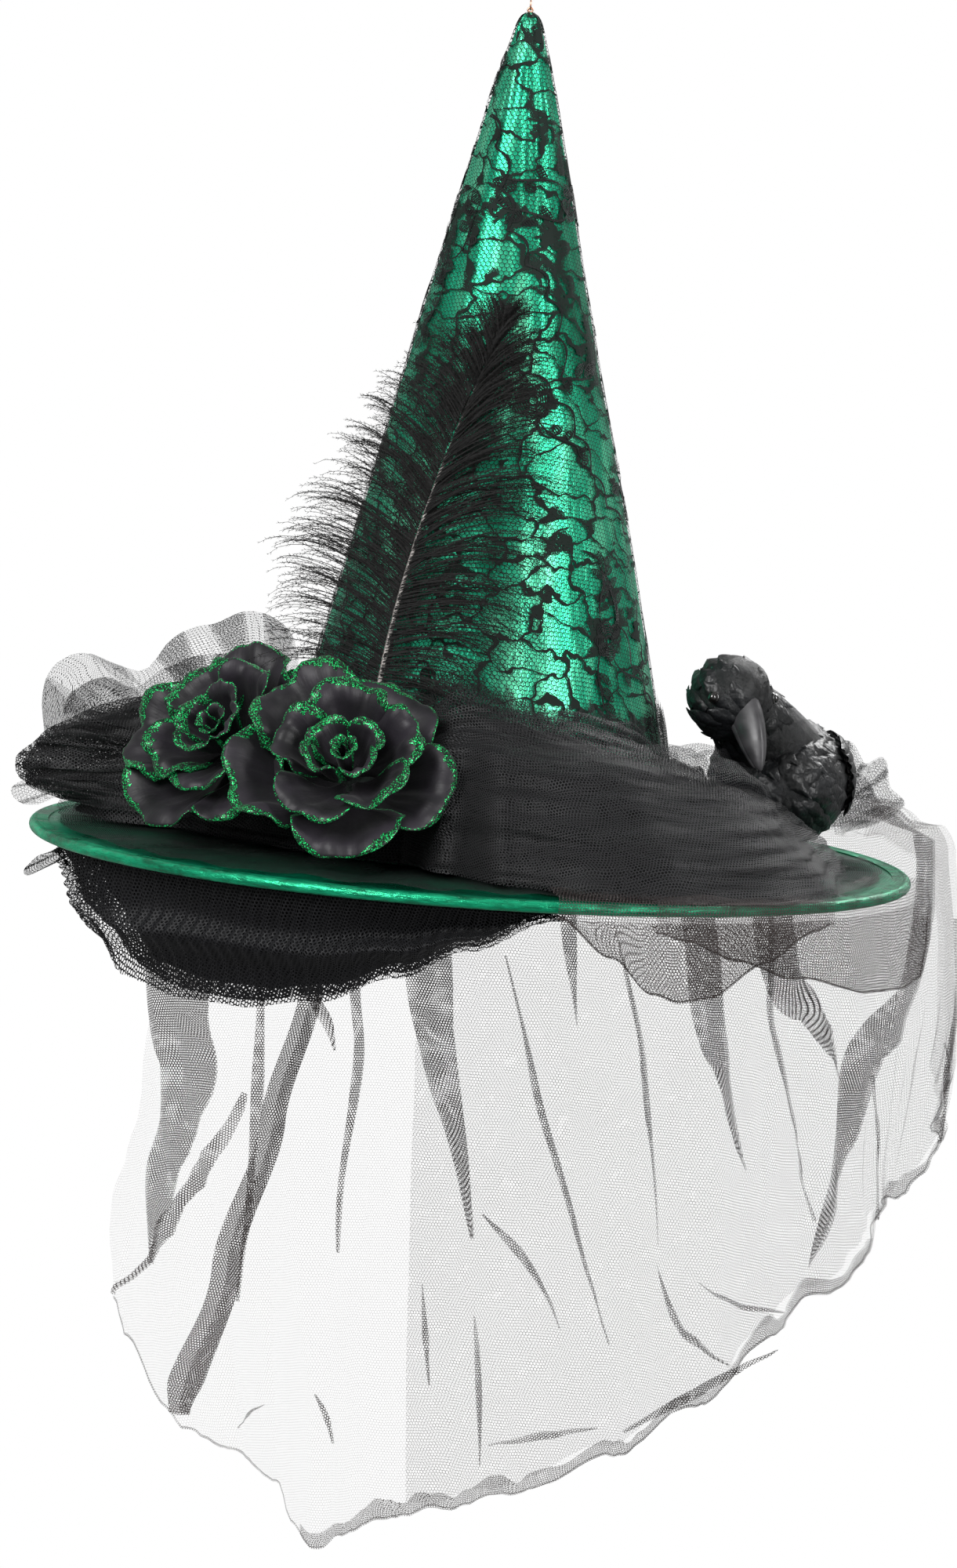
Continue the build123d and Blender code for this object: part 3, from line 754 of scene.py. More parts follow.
def laceGroundMaterial():
    # six-sided net, thick wavy outlines and hatched bands beside some of them
    material, shader, w = newMaterial("laceGround")
    cloth = w.cloth()
    shiver = w.vector("SUBTRACT", w.noise(cloth, 130.0, 1.0)[1], (0.5, 0.5, 0.5))
    sway = w.vector("SUBTRACT", w.noise(cloth, 34.0, 1.0)[1], (0.5, 0.5, 0.5))
    net = w.useGroup(
        hexNet, Cloth=w.vector("ADD", cloth, w.scale(sway, 0.004)), Cell=0.0021, Thread=0.15
    )["Mask"]
    warped = w.vector("ADD", w.vector("ADD", cloth, w.scale(shiver, 0.0125)), w.scale(sway, 0.03))
    turned = w.vector("MULTIPLY", warped, (0.8, 1.25, 1.0))
    near = w.voronoi(turned, 56.0, "DISTANCE_TO_EDGE")["Distance"]
    small = w.voronoi(w.vector("ADD", turned, (3.1, 1.7, 0)), 105.0, "DISTANCE_TO_EDGE")["Distance"]
    denser = w.ramp(w.parts(w.place())[2], 0.10, 0.36, (-0.05, 0.05))
    patches = w.sums("ADD", w.noise(cloth, 30.0, 2.0)[0], denser)
    breaks = w.noise(cloth, 75.0, 1.0)[0]
    outline = w.sums("LESS_THAN", near, w.sums("MULTIPLY", breaks, 0.075))
    busy = w.sums("GREATER_THAN", patches, 0.60)
    inner = w.sums("MULTIPLY", w.sums("LESS_THAN", small, 0.09), busy)
    along, up, _ = w.parts(warped)
    hatch = w.sums(
        "GREATER_THAN",
        w.sums("SINE", w.sums("MULTIPLY", w.sums("ADD", up, w.sums("MULTIPLY", along, 0.6)), 6900.0)), -0.35
    )
    cross = w.sums("GREATER_THAN", w.sums("SINE", w.sums("MULTIPLY", along, 5200.0)), 0.4)
    band = w.sums("LESS_THAN", near, w.ramp(patches, 0.46, 0.68, (0.0, 0.22)))
    filled = w.sums("MULTIPLY", band, w.sums("MAXIMUM", hatch, cross))
    mask = w.sums("MAXIMUM", w.sums("MAXIMUM", net, outline), w.sums("MAXIMUM", inner, filled))
    w.put(shader.inputs["Alpha"], mask)
    w.put(shader.inputs["Base Color"], w.mix(patches, (0.003, 0.007, 0.005, 1), (0.010, 0.018, 0.014, 1)))
    shader.inputs["Roughness"].default_value = 0.75
    shader.inputs["Specular IOR Level"].default_value = 0.2
    return material


def laceMotifMaterial():
    # solid at a motif's outline, hatched inside it
    material, shader, w = newMaterial("laceMotif")
    edge, along, _ = w.parts(w.cloth())
    hatch = w.sums("GREATER_THAN", w.sums("SINE", w.sums("MULTIPLY", along, 6283.0 * 0.9)), -0.45)
    w.put(shader.inputs["Alpha"], w.sums("MAXIMUM", hatch, w.sums("GREATER_THAN", edge, 0.62)))
    w.put(
        shader.inputs["Base Color"],
        w.mix(w.noise(w.place(), 300.0)[0], (0.003, 0.004, 0.004, 1), (0.012, 0.016, 0.014, 1))
    )
    w.put(shader.inputs["Normal"], w.bump(w.sums("SINE", w.sums("MULTIPLY", along, 6283.0 * 2)), 0.5, 0.0002))
    shader.inputs["Roughness"].default_value = 0.6
    shader.inputs["Specular IOR Level"].default_value = 0.2
    return material


lace = {
    "threadWidth": 1.05,
    "scallopLines": 10,
    "motifLift": 1.15,
}


def ribbon(points, width):
    # a flat strip along points: corners, faces and (edge, along) marks
    corners, faces, marks = [], [], []
    along = 0.0
    for number, (x, y) in enumerate(points):
        ahead = points[min(number + 1, len(points) - 1)]
        behind = points[max(number - 1, 0)]
        dx, dy = ahead[0] - behind[0], ahead[1] - behind[1]
        size = math.hypot(dx, dy) or 1.0
        taper = width * (0.55 + 0.45 * math.sin(math.pi * min(number / max(len(points) - 1, 1), 1)))
        if number:
            along += math.hypot(x - points[number - 1][0], y - points[number - 1][1])
            first = 2 * number
            faces.append((first - 2, first - 1, first + 1, first))
        corners += [
            (x - dy / size * taper / 2, y + dx / size * taper / 2),
            (x + dy / size * taper / 2, y - dx / size * taper / 2)
        ]
        marks += [(1.0, along * mm), (1.0, along * mm)]
    return corners, faces, marks


def leafShape(root, heading, length, width):
    # a pointed leaf with a solid outline and a hatched middle
    corners, faces, marks = [], [], []
    steps = 7
    bend = 0.18 * length
    for number in range(steps + 1):
        share = number / steps
        half = width / 2 * math.sin(math.pi * share) ** 0.75 + 0.25
        middle = bend * math.sin(math.pi * share) * 0.5
        for side in (-1, -0.62, 0, 0.62, 1):
            x, y = length * share, middle + half * side
            corners.append((root[0] + x * cosd(heading) - y * sind(heading), root[1] + x * sind(heading) + y * cosd(heading)))
            marks.append((abs(side), length * share * mm))
        if number:
            first = 5 * (number - 1)
            faces += [(first + k, first + k + 1, first + k + 6, first + k + 5) for k in range(4)]
    return corners, faces, marks


def laceSpray(seed):
    # a flower with scrolls and leaves round it
    rng = random.Random(seed)
    parts = []
    petals = rng.choice((6, 7, 8))
    for number in range(petals):
        heading = 360 * number / petals + rng.uniform(-8, 8)
        root = (2.0 * cosd(heading), 2.0 * sind(heading))
        parts.append(leafShape(root, heading, rng.uniform(6.5, 8.5), rng.uniform(5.0, 6.4)))
    ring = [(2.1 * cosd(a), 2.1 * sind(a)) for a in range(0, 361, 40)]
    parts.append(ribbon(ring, 1.3))
    for arm in range(4):
        heading = 90 * arm + rng.uniform(10, 60)
        x, y = 9 * cosd(heading), 9 * sind(heading)
        points = [(x, y)]
        turn = heading
        bend = rng.choice((-1, 1)) * rng.uniform(13, 19)
        for step in range(12):
            turn += bend * (1 - 1.7 * step / 12)
            x += 2.3 * cosd(turn)
            y += 2.3 * sind(turn)
            points.append((x, y))
            if step in (3, 6, 9, 11):
                side = rng.choice((-1, 1))
                parts.append(leafShape((x, y), turn + side * rng.uniform(35, 70), rng.uniform(6, 10), rng.uniform(3.0, 4.6)))
        parts.append(ribbon(points, 1.2))
    return parts


def scallopLine(seed, start, heading):
    rng = random.Random(seed)
    points = []
    phase = rng.uniform(0, 6)
    for step in range(84):
        x = step * 1.7
        y = 4.6 * abs(math.sin(x / 6.4 + phase)) + 3.0 * math.sin(x / 15 + phase * 2)
        points.append((start[0] + x * cosd(heading) - y * sind(heading), start[1] + x * sind(heading) + y * cosd(heading)))
    return points


def motifOnCrown(parts, angle, height):
    # lays flat parts on the cone round a place given by its angle and height
    made = []
    for corners, faces, marks in parts:
        placed = []
        inside = True
        for x, y in corners:
            up = height + y * math.cos(crownHalfAngle)
            if not 14 < up < 364:
                inside = False
                break
            radius = max(crown["foot"] - crown["slope"] * up, 5)
            turn = angle + math.degrees(x / radius)
            placed.append(crownPoint(turn, up, lace["motifLift"]))
        if inside:
            made.append((placed, faces, marks))
    return made


def meshFromParts(name, parts):
    corners, faces, marks = [], [], []
    for placed, partFaces, partMarks in parts:
        base = len(corners)
        corners += placed
        marks += partMarks
        faces += [tuple(index + base for index in face) for face in partFaces]
    mesh = bpy.data.meshes.new(name)
    mesh.from_pydata(corners, [], faces)
    layer = mesh.uv_layers.new(name="cloth")
    for loop in mesh.loops:
        layer.data[loop.index].uv = marks[loop.vertex_index]
    mesh.polygons.foreach_set("use_smooth", [True] * len(mesh.polygons))
    obj = bpy.data.objects.new(name, mesh)
    bpy.context.collection.objects.link(obj)
    return obj


def buildCrown():
    satin = satinCloth("crownSatin", (0.0, 0.24, 0.12), (0.01, 0.50, 0.27), (0.18, 0.95, 0.56), (34, 34, 6))
    satinCone = crownCloth("crownSatin", crown["satinLift"], satin, 1.7)
    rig.slot(satinCone, "green_satin")
    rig.replaces(satinCone, "crown_satin")
    laceCone = crownCloth("crownLace", crown["laceLift"], laceGroundMaterial(), 1.8)
    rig.slot(laceCone, "black_lace")
    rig.replaces(laceCone, "crown_lace")
    rng = random.Random(4)
    parts = []
    height, turn, number = 26.0, 214.0, 0
    while height < 352:
        parts += motifOnCrown(laceSpray(number), turn, height)
        number += 1
        turn += 137.5
        height += 8 + 0.09 * height
    for line in range(lace["scallopLines"]):
        start = 360 * ((line * 0.618) % 1.0)
        top = 30 + 330 * (line / lace["scallopLines"]) ** 0.9
        points = scallopLine(line + 40, (0, 0), -52 + rng.uniform(-7, 7))
        pieces = [ribbon(points[k:k + 7], lace["threadWidth"] * 1.3) for k in range(0, len(points) - 1, 6)]
        parts += motifOnCrown(pieces, start, top)
    motifs = meshFromParts("crownLaceMotifs", parts)
    flipIfInward(motifs, lambda spot: Vector((spot.x, spot.y, 0.0)))
    dress(motifs, laceMotifMaterial(), slotName="black_lace")
    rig.sheet(satinCone, flat=(0.60, 0.39), area=0.1185, held="stretched", rests_on=["crown_stiffener"])
    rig.sheet(
        laceCone, flat=(0.60, 0.39), area=0.1195, held="stretched", rests_on=[satinCone], with_pieces=[motifs]
    )
    print("crown made")


def finishHardware():
    nodes = frame["nodes"]
    # the brim top and its binding take the crown's green satin in darker tones: painted shade, on top of the painted
    # shade and highlights that satinCloth draws
    brimSatin = satinCloth(
        "brimSatin", (0.0, 0.12, 0.06), (0.0, 0.30, 0.15), (0.01, 0.50, 0.25), (14, 14, 60), 0.3
    )
    rimSatin = satinCloth(
        "rimSatin", (0.0, 0.14, 0.065), (0.0, 0.34, 0.16), (0.01, 0.52, 0.25), (50, 50, 200), 0.5
    )
    copper = metalWire("copperWire", (0.85, 0.5, 0.36), 0.3)
    steel = metalWire("steelWire", (0.5, 0.5, 0.52), 0.35)
    lining = plainCloth("lining", (0.012, 0.016, 0.014), 0.0009)
    tape = plainCloth("cottonTape", (0.015, 0.015, 0.016), 0.0011)
    board = plainCloth("millineryBoard", (0.16, 0.155, 0.145), 0.0016)
    finishes = {
        "brim_top_satin": brimSatin,
        "brim_edge_binding": rimSatin,
        "brim_under_cover": lining,
        "brim_board": board,
        "brim_wire": steel,
        "crown_stiffener": plainCloth("buckram", (0.02, 0.02, 0.02), 0.0018, strength=0.8),
        "crown_seam_tape": tape,
        "sweatband": tape,
        "tip_eye": copper,
        "hanging_ring": copper,
        "raven_feet": steel,
    }
    for name, material in finishes.items():
        mesh = nodes[name].data
        mesh.materials.clear()
        mesh.materials.append(material)
    print("hardware finished")


buildCrown()
finishHardware()

# veil and its folds

veilTone = (0.024, 0.018, 0.017)

veil = {
    "from": -14,
    "to": 148,
    "overlayTo": 97.2,
    "lean": 0.0715,  # sideways drift of a hanging thread, because the hat is worn at a tilt
    "rimRadius": 207,
    "foldDepth": 8.0,
    "hemTurn": 8.0,  # how much of the hem is folded up, and what its rolled edge takes
    "hemRoll": 4.0,
    "hem": [
        (-14, -66), (-6, -92), (0, -112), (14.5, -153), (36, -212), (44.5, -238), (56, -277), (70, -309), (82, -329),
        (95, -343), (104, -350), (109, -357), (114.4, -363), (117.5, -350), (120, -329), (129, -312), (137, -300),
        (140, -288), (145, -255), (148, -236),
    ],
    "bulge": [(0, 206), (8, 210), (30, 213), (60, 213), (100, 210), (160, 205), (250, 198), (350, 191)],
}
veilFolds = [  # angle, depth and width in millimetres along each pressed fold
    [(14, -20, 22), (21, 66, 22), (30, 98, 20), (33, 141, 15), (36, 180, 7), (37.8, 206, 1)],
    [(51, -20, 26), (47, 66, 24), (41, 87, 17), (34, 114, 1)],
    [(62, -20, 24), (59, 93, 20), (55.8, 124, 14), (50.2, 167, 1)],
    [(49, -20, 5), (48.3, 71, 5), (46, 111, 4), (41.7, 150, 3), (37.7, 184, 0.8)],
    [(97, -20, 27), (96, 94, 21), (94.8, 130, 17), (92.5, 168, 10), (90.3, 218, 1)],
    [(106.5, 24, 6), (106, 99, 5), (105.6, 128, 6), (106.8, 157, 4), (108.8, 195, 3), (109.5, 226, 0.8)],
    [(113, 70, 9), (111.8, 102, 8), (110, 116, 5), (109.2, 129, 0.8)],
    [(131, -20, 40), (131, 103, 35), (129.5, 141, 29), (134, 180, 21), (138, 212, 10), (139.4, 228, 1)],
    [
        (122, 150, 2), (124.8, 172, 6), (128, 186, 9), (131.1, 198, 5), (135, 212, 9), (139.1, 225, 4),
        (146, 241, 1)
    ],
    [(79, -20, 10), (78, 60, 7), (77, 112, 0.8)],
]
veilCreases = [
    [(88.9, 205, 1), (84, 222, 4), (80.3, 240, 3), (78.1, 257, 0.6)],
    [(90.1, 255, 1), (89.4, 289, 3), (89.3, 327, 0.6)],
    [(97.4, 240, 0.6), (96.9, 265, 3), (96.3, 290, 0.6)],
    [(113.5, 294, 0.6), (112, 305, 3), (111, 318, 0.6)],
    [(127, 308, 0.6), (124, 303, 3), (121, 299, 0.6)],
    [(88, 316, 0.6), (80, 309, 4), (72, 302, 0.6)],
    [(68, 302, 1), (56.4, 276, 5), (44.4, 250, 0.6)],
    [(58, 226, 0.6), (50, 232, 3), (43, 231, 0.6)],
    [(72, 60, 0.6), (68, 130, 4), (64, 210, 0.6)],
    [(86, 80, 0.6), (80, 170, 4), (71, 262, 0.6)],
    [(64, 220, 0.6), (60, 250, 4), (52, 262, 0.6)],
    [(30, 110, 0.6), (27, 150, 4), (26, 176, 0.6)],
    [(10, 30, 3), (9, 80, 5), (8, 128, 0.6)],
    [(119, 60, 1), (120, 150, 4), (124, 250, 0.6)],
]


def veilSpot(angle, depth, lift=0.0, seed=0.0):
    # a place on the hanging net; depth runs down from the rim's top in millimetres, and is negative on the
    # brim
    side = math.exp(-((angle - 2) / 21) ** 2)
    if depth < 0:
        back = -depth
        radius = veil["rimRadius"] - 2 - back * 0.93
        height = 5.5 + side * (20 + 9 * smooth(0, 18, back)) + 1.2 * smooth(0, 8, back)
        fold = (1.2 + 3 * side) * wobble(angle * 0.35, back * 0.08, seed + 3)
        return Vector(((radius + lift) * cosd(angle), (radius + lift) * sind(angle), height + fold)) * mm
    radius = curveAt(veil["bulge"], depth) + side * 9 * (1 - smooth(60, 160, depth))
    swell = smooth(0, 120, depth)
    fold = veil["foldDepth"] * swell * (
        1.5 * wobble(angle * 0.085, depth * 0.0045, seed)
        + 0.6 * wobble(angle * 0.24 + depth * 0.006, depth * 0.007, seed + 7)
        + 0.22 * wobble(angle * 0.7, depth * 0.012, seed + 9)
    )
    height = 5.5 - depth if depth > 7 else 5.5 - depth * depth / 14 - depth * 0.5
    height += side * 20 * (1 - smooth(0, 46, depth))
    radius += fold + lift
    x = radius * cosd(angle) + veil["lean"] * depth
    return Vector((x, radius * sind(angle), height)) * mm


def veilHem(angle):
    return (
        5.5 - curveAt(veil["hem"], angle) + 3.0 * wobble(angle * 0.22, 1.0) + 1.2 * wobble(angle * 0.8, 1.0)
    )


def hungCut(start, end, radius, over, shorter=0.0):
    # the rim's arc by the drop to the hem, with what lies over the brim
    drops = [5.5 - lineAt(veil["hem"], angle) - shorter + over for angle in slices(start, end, 400)]
    arc = radius * math.radians(end - start)
    return flatCut(arc, max(drops), arc * sum(drops) / len(drops))


def foldsCut(lines):
    # every fold's length along the net, each taking its width twice
    length, area = 0.0, 0.0
    for stops in lines:
        for one, two in zip(stops, stops[1:]):
            run = math.hypot((two[0] - one[0]) * 3.6, two[1] - one[1])
            length += run
            area += run * (one[2] + two[2])
    return flatCut(round(length), area / length, places=4)


def hemRun(start, end):
    # the length of the hem line between two angles
    total = 0.0
    for number in range(300):
        one, two = lerp(start, end, number / 300), lerp(start, end, (number + 1) / 300)
        fall = lineAt(veil["hem"], two) - lineAt(veil["hem"], one)
        total += math.hypot(math.radians(two - one) * veil["rimRadius"], fall)
    return total


def hemCut():
    whole = hemRun(veil["from"], veil["to"])
    turned = hemRun(veil["from"] + 2, 116)
    return flatCut(whole, (turned * 2 * veil["hemTurn"] + whole * veil["hemRoll"]) / whole)


def pressedFold(name, stops, lift, rows=46):
    # two more layers of net where it is folded over on itself along a line of (angle, depth, width)
    def place(across, down):
        angle, depth, width = pointAlong(stops, down)
        ahead, behind = pointAlong(stops, min(down + 0.02, 1)), pointAlong(stops, max(down - 0.02, 0))
        run = Vector(((ahead.x - behind.x) * 3.6, ahead.y - behind.y))
        run.normalize()
        reach = 1 - abs(2 * across - 1)
        shift = (
            width * (reach - 0.5) * (1 + 0.3 * wobble(down * 5, lift, 2.0))
            + 0.8 * wobble(depth * 0.03, across * 2, lift)
        )
        angle += run.y * shift / 3.6
        depth -= run.x * shift
        return veilSpot(angle, depth, lift + 1.6 * math.sin(math.pi * across) + 1.2 * across)
    return clothGrid(name, 10, rows, place)


def buildVeil():
    fine = netCloth("fineNet", 0.0015, 0.046, veilTone)
    doubled = netCloth("doubledNet", 0.0016, 0.085, veilTone)
    pressed = netCloth("pressedNet", 0.0014, 0.20, veilTone)

    def single(across, down):
        angle = lerp(veil["from"], veil["to"], across)
        depth = lerp(-26.0, veilHem(angle), down)
        angle -= 11 * (1 - smooth(90, 245, depth)) * smooth(0.8, 1.0, across)
        return veilSpot(angle, depth)

    def second(across, down):
        angle = lerp(veil["from"] + 1, veil["overlayTo"], across)
        depth = lerp(-24.0, veilHem(angle) - 2.5, down)
        return veilSpot(angle + across * 3 * smooth(0, 350, depth), depth, -3.5, 4.0)

    net = clothGrid("veilNet", 230, 120, single)
    flipIfInward(net, lambda spot: Vector((spot.x, spot.y, 0)))
    dress(net, fine, slotName="veil_net", stands=[f"veil_panel_{n}" for n in range(1, 6)])
    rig.sheet(net, **hungCut(veil["from"], veil["to"], 208, 26), held="hung", rests_on=["brim_edge_binding"])
    lining = clothGrid("veilSecondNet", 170, 110, second)
    flipIfInward(lining, lambda spot: Vector((spot.x, spot.y, 0)))
    dress(lining, doubled, slotName="veil_net")
    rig.sheet(
        lining, **hungCut(veil["from"] + 1, veil["overlayTo"], 205, 24, 2.5), held="hung",
        rests_on=["brim_edge_binding"]
    )
    folds = [pressedFold(f"veilFold{n + 1}", stops, 0.8 + 0.3 * n) for n, stops in enumerate(veilFolds)]
    for number, stops in enumerate(veilCreases):
        folds.append(pressedFold(f"veilCrease{number + 1}", stops, 0.5 + 0.2 * number, 24))
    pleats = joinPieces(folds, "veilFolds")
    dress(pleats, pressed, slotName="veil_net")
    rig.sheet(pleats, **foldsCut(veilFolds + veilCreases), held="hung", rests_on=[net])

    def turnUp(across, down):
        # the hem folded up over itself, and a narrow roll along its edge
        angle = lerp(veil["from"] + 2, 116, across)
        width = 5.5 + 9 * abs(wobble(angle * 0.12, 3.0)) + 3 * wobble(angle * 0.4, 5.0)
        reach = abs(1 - 2 * down)
        return veilSpot(angle, veilHem(angle) - width * reach, 1.2 + 1.5 * (down - 0.5))

    def roll(across, down):
        angle = lerp(veil["from"], veil["to"], across)
        spot = veilSpot(angle, veilHem(angle) - 0.3)
        size = (0.75 + 0.5 * wobble(angle * 0.13, 3.0)) * mm
        turn = 2 * math.pi * down
        outward = Vector((cosd(angle), sind(angle), 0))
        return spot + outward * math.cos(turn) * size * 0.6 + Vector((0, 0, 1)) * math.sin(turn) * size

    fold = clothGrid("veilHemFold", 220, 8, turnUp)
    edge = clothGrid("veilHemRoll", 240, 6, roll)
    hem = joinPieces([fold, edge], "veilHem")
    dress(hem, netCloth("hemNet", 0.0012, 0.13, veilTone), slotName="veil_net")
    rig.sheet(hem, **hemCut(), held="hung", rests_on=[net])
    print("veil hung")


frontLoop = {
    "puff": 6.0,
    "flaps": [
        [
            (-79, -4), (-72.5, -20), (-67.3, -35), (-63.9, -38.5), (-59.7, -36.8), (-51.5, -21.8),
            (-42.8, -9), (-39, -6)
        ],
        [
            (-67, -8), (-63.3, -12), (-56, -20.5), (-48, -28), (-32, -37.5), (-23, -38.5), (-15.6, -37),
            (-11.4, -27), (-9, -12)
        ],
    ],
}


def flapCut(bottoms):
    # across the brim's edge, down to the turned hem and up behind
    start, end = bottoms[0][0], bottoms[-1][0]
    arc = 208 * math.radians(end - start)
    lows = [lineAt(bottoms, angle) for angle in slices(start, end, 100)]
    runs = [22 + (5 - low) + max(-4.5 - low, 0) for low in lows]
    return flatCut(arc, max(runs), arc * sum(runs) / len(runs))


def buildFrontLoop():
    net = netCloth("loopNet", 0.0015, 0.17, veilTone)
    edgeNet = netCloth("loopEdgeNet", 0.0012, 0.26, veilTone)
    for number, bottoms in enumerate(frontLoop["flaps"]):
        start, end = bottoms[0][0], bottoms[-1][0]
        inset = 2.5 * number

        def edge(angle):
            return curveAt(bottoms, angle) + 1.2 * wobble(angle * 0.2, 8.0 + number)

        def place(across, down):
            # over the rim, down to the turned edge, then up behind
            angle = lerp(start, end, across)
            bottom = edge(angle)
            puff = frontLoop["puff"] * math.sin(math.pi * across) ** 0.5
            if down < 0.2:
                share = down / 0.2
                return cylinderSpot(
                    lerp(184, 206 + inset, share), angle,
                    6.5 + 2 * wobble(angle * 0.2, share * 3) - 1.5 * share
                )
            if down < 0.62:
                share = (down - 0.2) / 0.42
                height = lerp(5.0, bottom, share)
                radius = 206 + inset + puff * math.sin(math.pi * share) ** 0.8
                radius += 3.4 * wobble(angle * 0.16, share * 2, 2.0 + number) * share
            else:
                share = (down - 0.62) / 0.38
                height = lerp(bottom, -4.5, share)
                radius = lerp(205 + inset, 203, share) - 3.0 * math.sin(math.pi * share)
                radius += 1.6 * wobble(angle * 0.18, share * 2, 5.0)
            spot = cylinderSpot(radius, angle, height)
            spot.x += veil["lean"] * max(-height, 0) * mm
            return spot

        def rollPlace(across, down):
            angle = lerp(start, end, across)
            turn = 2 * math.pi * down
            size = 0.8 + 0.4 * wobble(angle * 0.15, 1.0)
            bottom = edge(angle)
            spot = cylinderSpot(
                206 + inset + size * 0.5 * math.cos(turn), angle, bottom + size * (1 + math.sin(turn)) * 0.8
            )
            spot.x += veil["lean"] * max(-bottom, 0) * mm
            return spot

        name = f"frontLoop{number + 1}"
        loop = clothGrid(name, 110, 64, place)
        dress(loop, net, slotName="veil_net", stands=["veil_front_loop"])
        hem = clothGrid(f"{name}Edge", 120, 6, rollPlace)
        dress(hem, edgeNet, slotName="veil_net")
        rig.sheet(loop, **flapCut(bottoms), held="gathered", rests_on=["brim_edge_binding"], with_pieces=[hem])
    print("front loop made")


def cylinderSpot(radius, angle, height):
    return Vector((radius * cosd(angle), radius * sind(angle), height)) * mm


tail = {
    "spine": [(0, -58), (0.25, -70), (0.5, -84), (0.75, -101), (1.0, -119)],
    "width": [(0, 9), (0.25, 11), (0.55, 12), (0.8, 14), (0.94, 17), (1.0, 10)],
    "top": -7,
    "bottom": -292,
    "back": 122,
}


def buildTail():
    # the gathered selvedge: the net pleated over itself into a narrow band
    def place(across, down):
        middle = curveAt(tail["spine"], down)
        width = curveAt(tail["width"], down)
        pleat = abs(((across * 2.5) % 2) - 1)
        shift = width * (pleat - 0.5) * (1 + 0.12 * wobble(down * 5, across * 3))
        x = middle + shift + 1.5 * wobble(down * 4, 2.0)
        depth = (
            2.2 * math.sin(across * math.pi * 2.5) + 5 * (across - 0.5)
            + 3.5 * wobble(down * 3.2, across, 4.0)
        )
        ragged = 7 * wobble(across * 4, 7.0) * smooth(0.9, 1.0, down)
        return Vector((x, tail["back"] + depth, lerp(tail["top"], tail["bottom"], down) + ragged)) * mm

    band = clothGrid("veilTail", 40, 110, place)
    dress(band, netCloth("tailNet", 0.0014, 0.20, veilTone), slotName="veil_net", stands=["veil_tail_left"])
    widths = [lineAt(tail["width"], share) for share in slices(0, 1, 50)]
    flat = flatCut(2.5 * sum(widths) / len(widths), tail["top"] - tail["bottom"])
    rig.sheet(band, **flat, held="hung", rests_on=["brim_under_cover"])
    print("veil tail made")


def tulleCore(name, rib=0.0024, slant=0.35):
    # the many inner layers read as one soft black mass with fine ribs; its colour is darker in the rib and streak
    # valleys and lighter on their crests, following the bump, as painted shade and painted highlight
    material, shader, w = newMaterial(name)
    cloth = w.cloth()
    across, down, _ = w.parts(cloth)
    sway = w.noise(cloth, 22.0, 2.0)[0]
    streak = w.noise(w.vector("MULTIPLY", cloth, (30, 300, 1)), 1.0, 4.0, 0.6)[0]
    mesh = w.useGroup(hexNet, Cloth=cloth, Cell=0.0017, Thread=0.3)["Mask"]
    line = w.sums(
        "ADD", w.sums("ADD", down, w.sums("MULTIPLY", across, slant)), w.sums("MULTIPLY", sway, 0.012)
    )
    ribs = w.sums("SINE", w.sums("MULTIPLY", line, 6.2831853 / rib))
    depth = w.sums("ADD", w.sums("MULTIPLY", streak, 0.9), w.sums("MULTIPLY", ribs, 0.10))
    # painted shade and painted highlight: the tone follows the same ribs and streaks as the bump
    tone = w.mix(w.ramp(depth, 0.3, 0.72), (0.0006, 0.0006, 0.0007, 1), (0.009, 0.009, 0.0095, 1))
    # the net's threads are drawn a little lighter than the mass: painted sheen on the threads
    w.put(shader.inputs["Base Color"], w.mix(w.sums("MULTIPLY", mesh, 0.35), tone, (0.012, 0.012, 0.0125, 1)))
    w.put(shader.inputs["Normal"], w.bump(depth, 0.7, 0.0016))
    shader.inputs["Roughness"].default_value = 0.8
    shader.inputs["Specular IOR Level"].default_value = 0.15
    return material


underTulle = {
    "from": 181,
    "to": 283,
    "hem": [
        (181, -12), (188, -26), (198, -44), (210, -56), (222, -60), (235, -59), (248, -52), (260, -38), (270, -24), (283, -8),
    ],
    # radius at the brim, how far in the hem sways, how much of the drop, net's cell and thread, seed
    "layers": [
        ("underTulleOuter", 188, 14, 1.0, 0.0018, 0.34, 1.0, "under_tulle_outer"),
        ("underTulleMiddle", 178, 12, 0.96, 0.0018, 0.6, 5.0, "under_tulle_middle"),
        ("underTulleInner", 168, 10, 0.88, 0.0, 0.0, 9.0, "under_tulle_inner"),
    ],
    "ribs": 46,
}


def underCut(radius, sway, share):
    # the gathered arc by the slanting drop to the hem
    spread = underTulle["to"] - underTulle["from"]
    arc = radius * math.radians(spread)
    gather = 1 + (0.9 * 2 * math.pi / (arc / underTulle["ribs"])) ** 2 / 4
    angles = slices(underTulle["from"], underTulle["to"], 200)
    runs = [math.hypot(max(-lineAt(underTulle["hem"], angle) * share - 4.2, 0), sway) for angle in angles]
    return flatCut(arc * gather, max(runs), arc * gather * sum(runs) / len(runs))


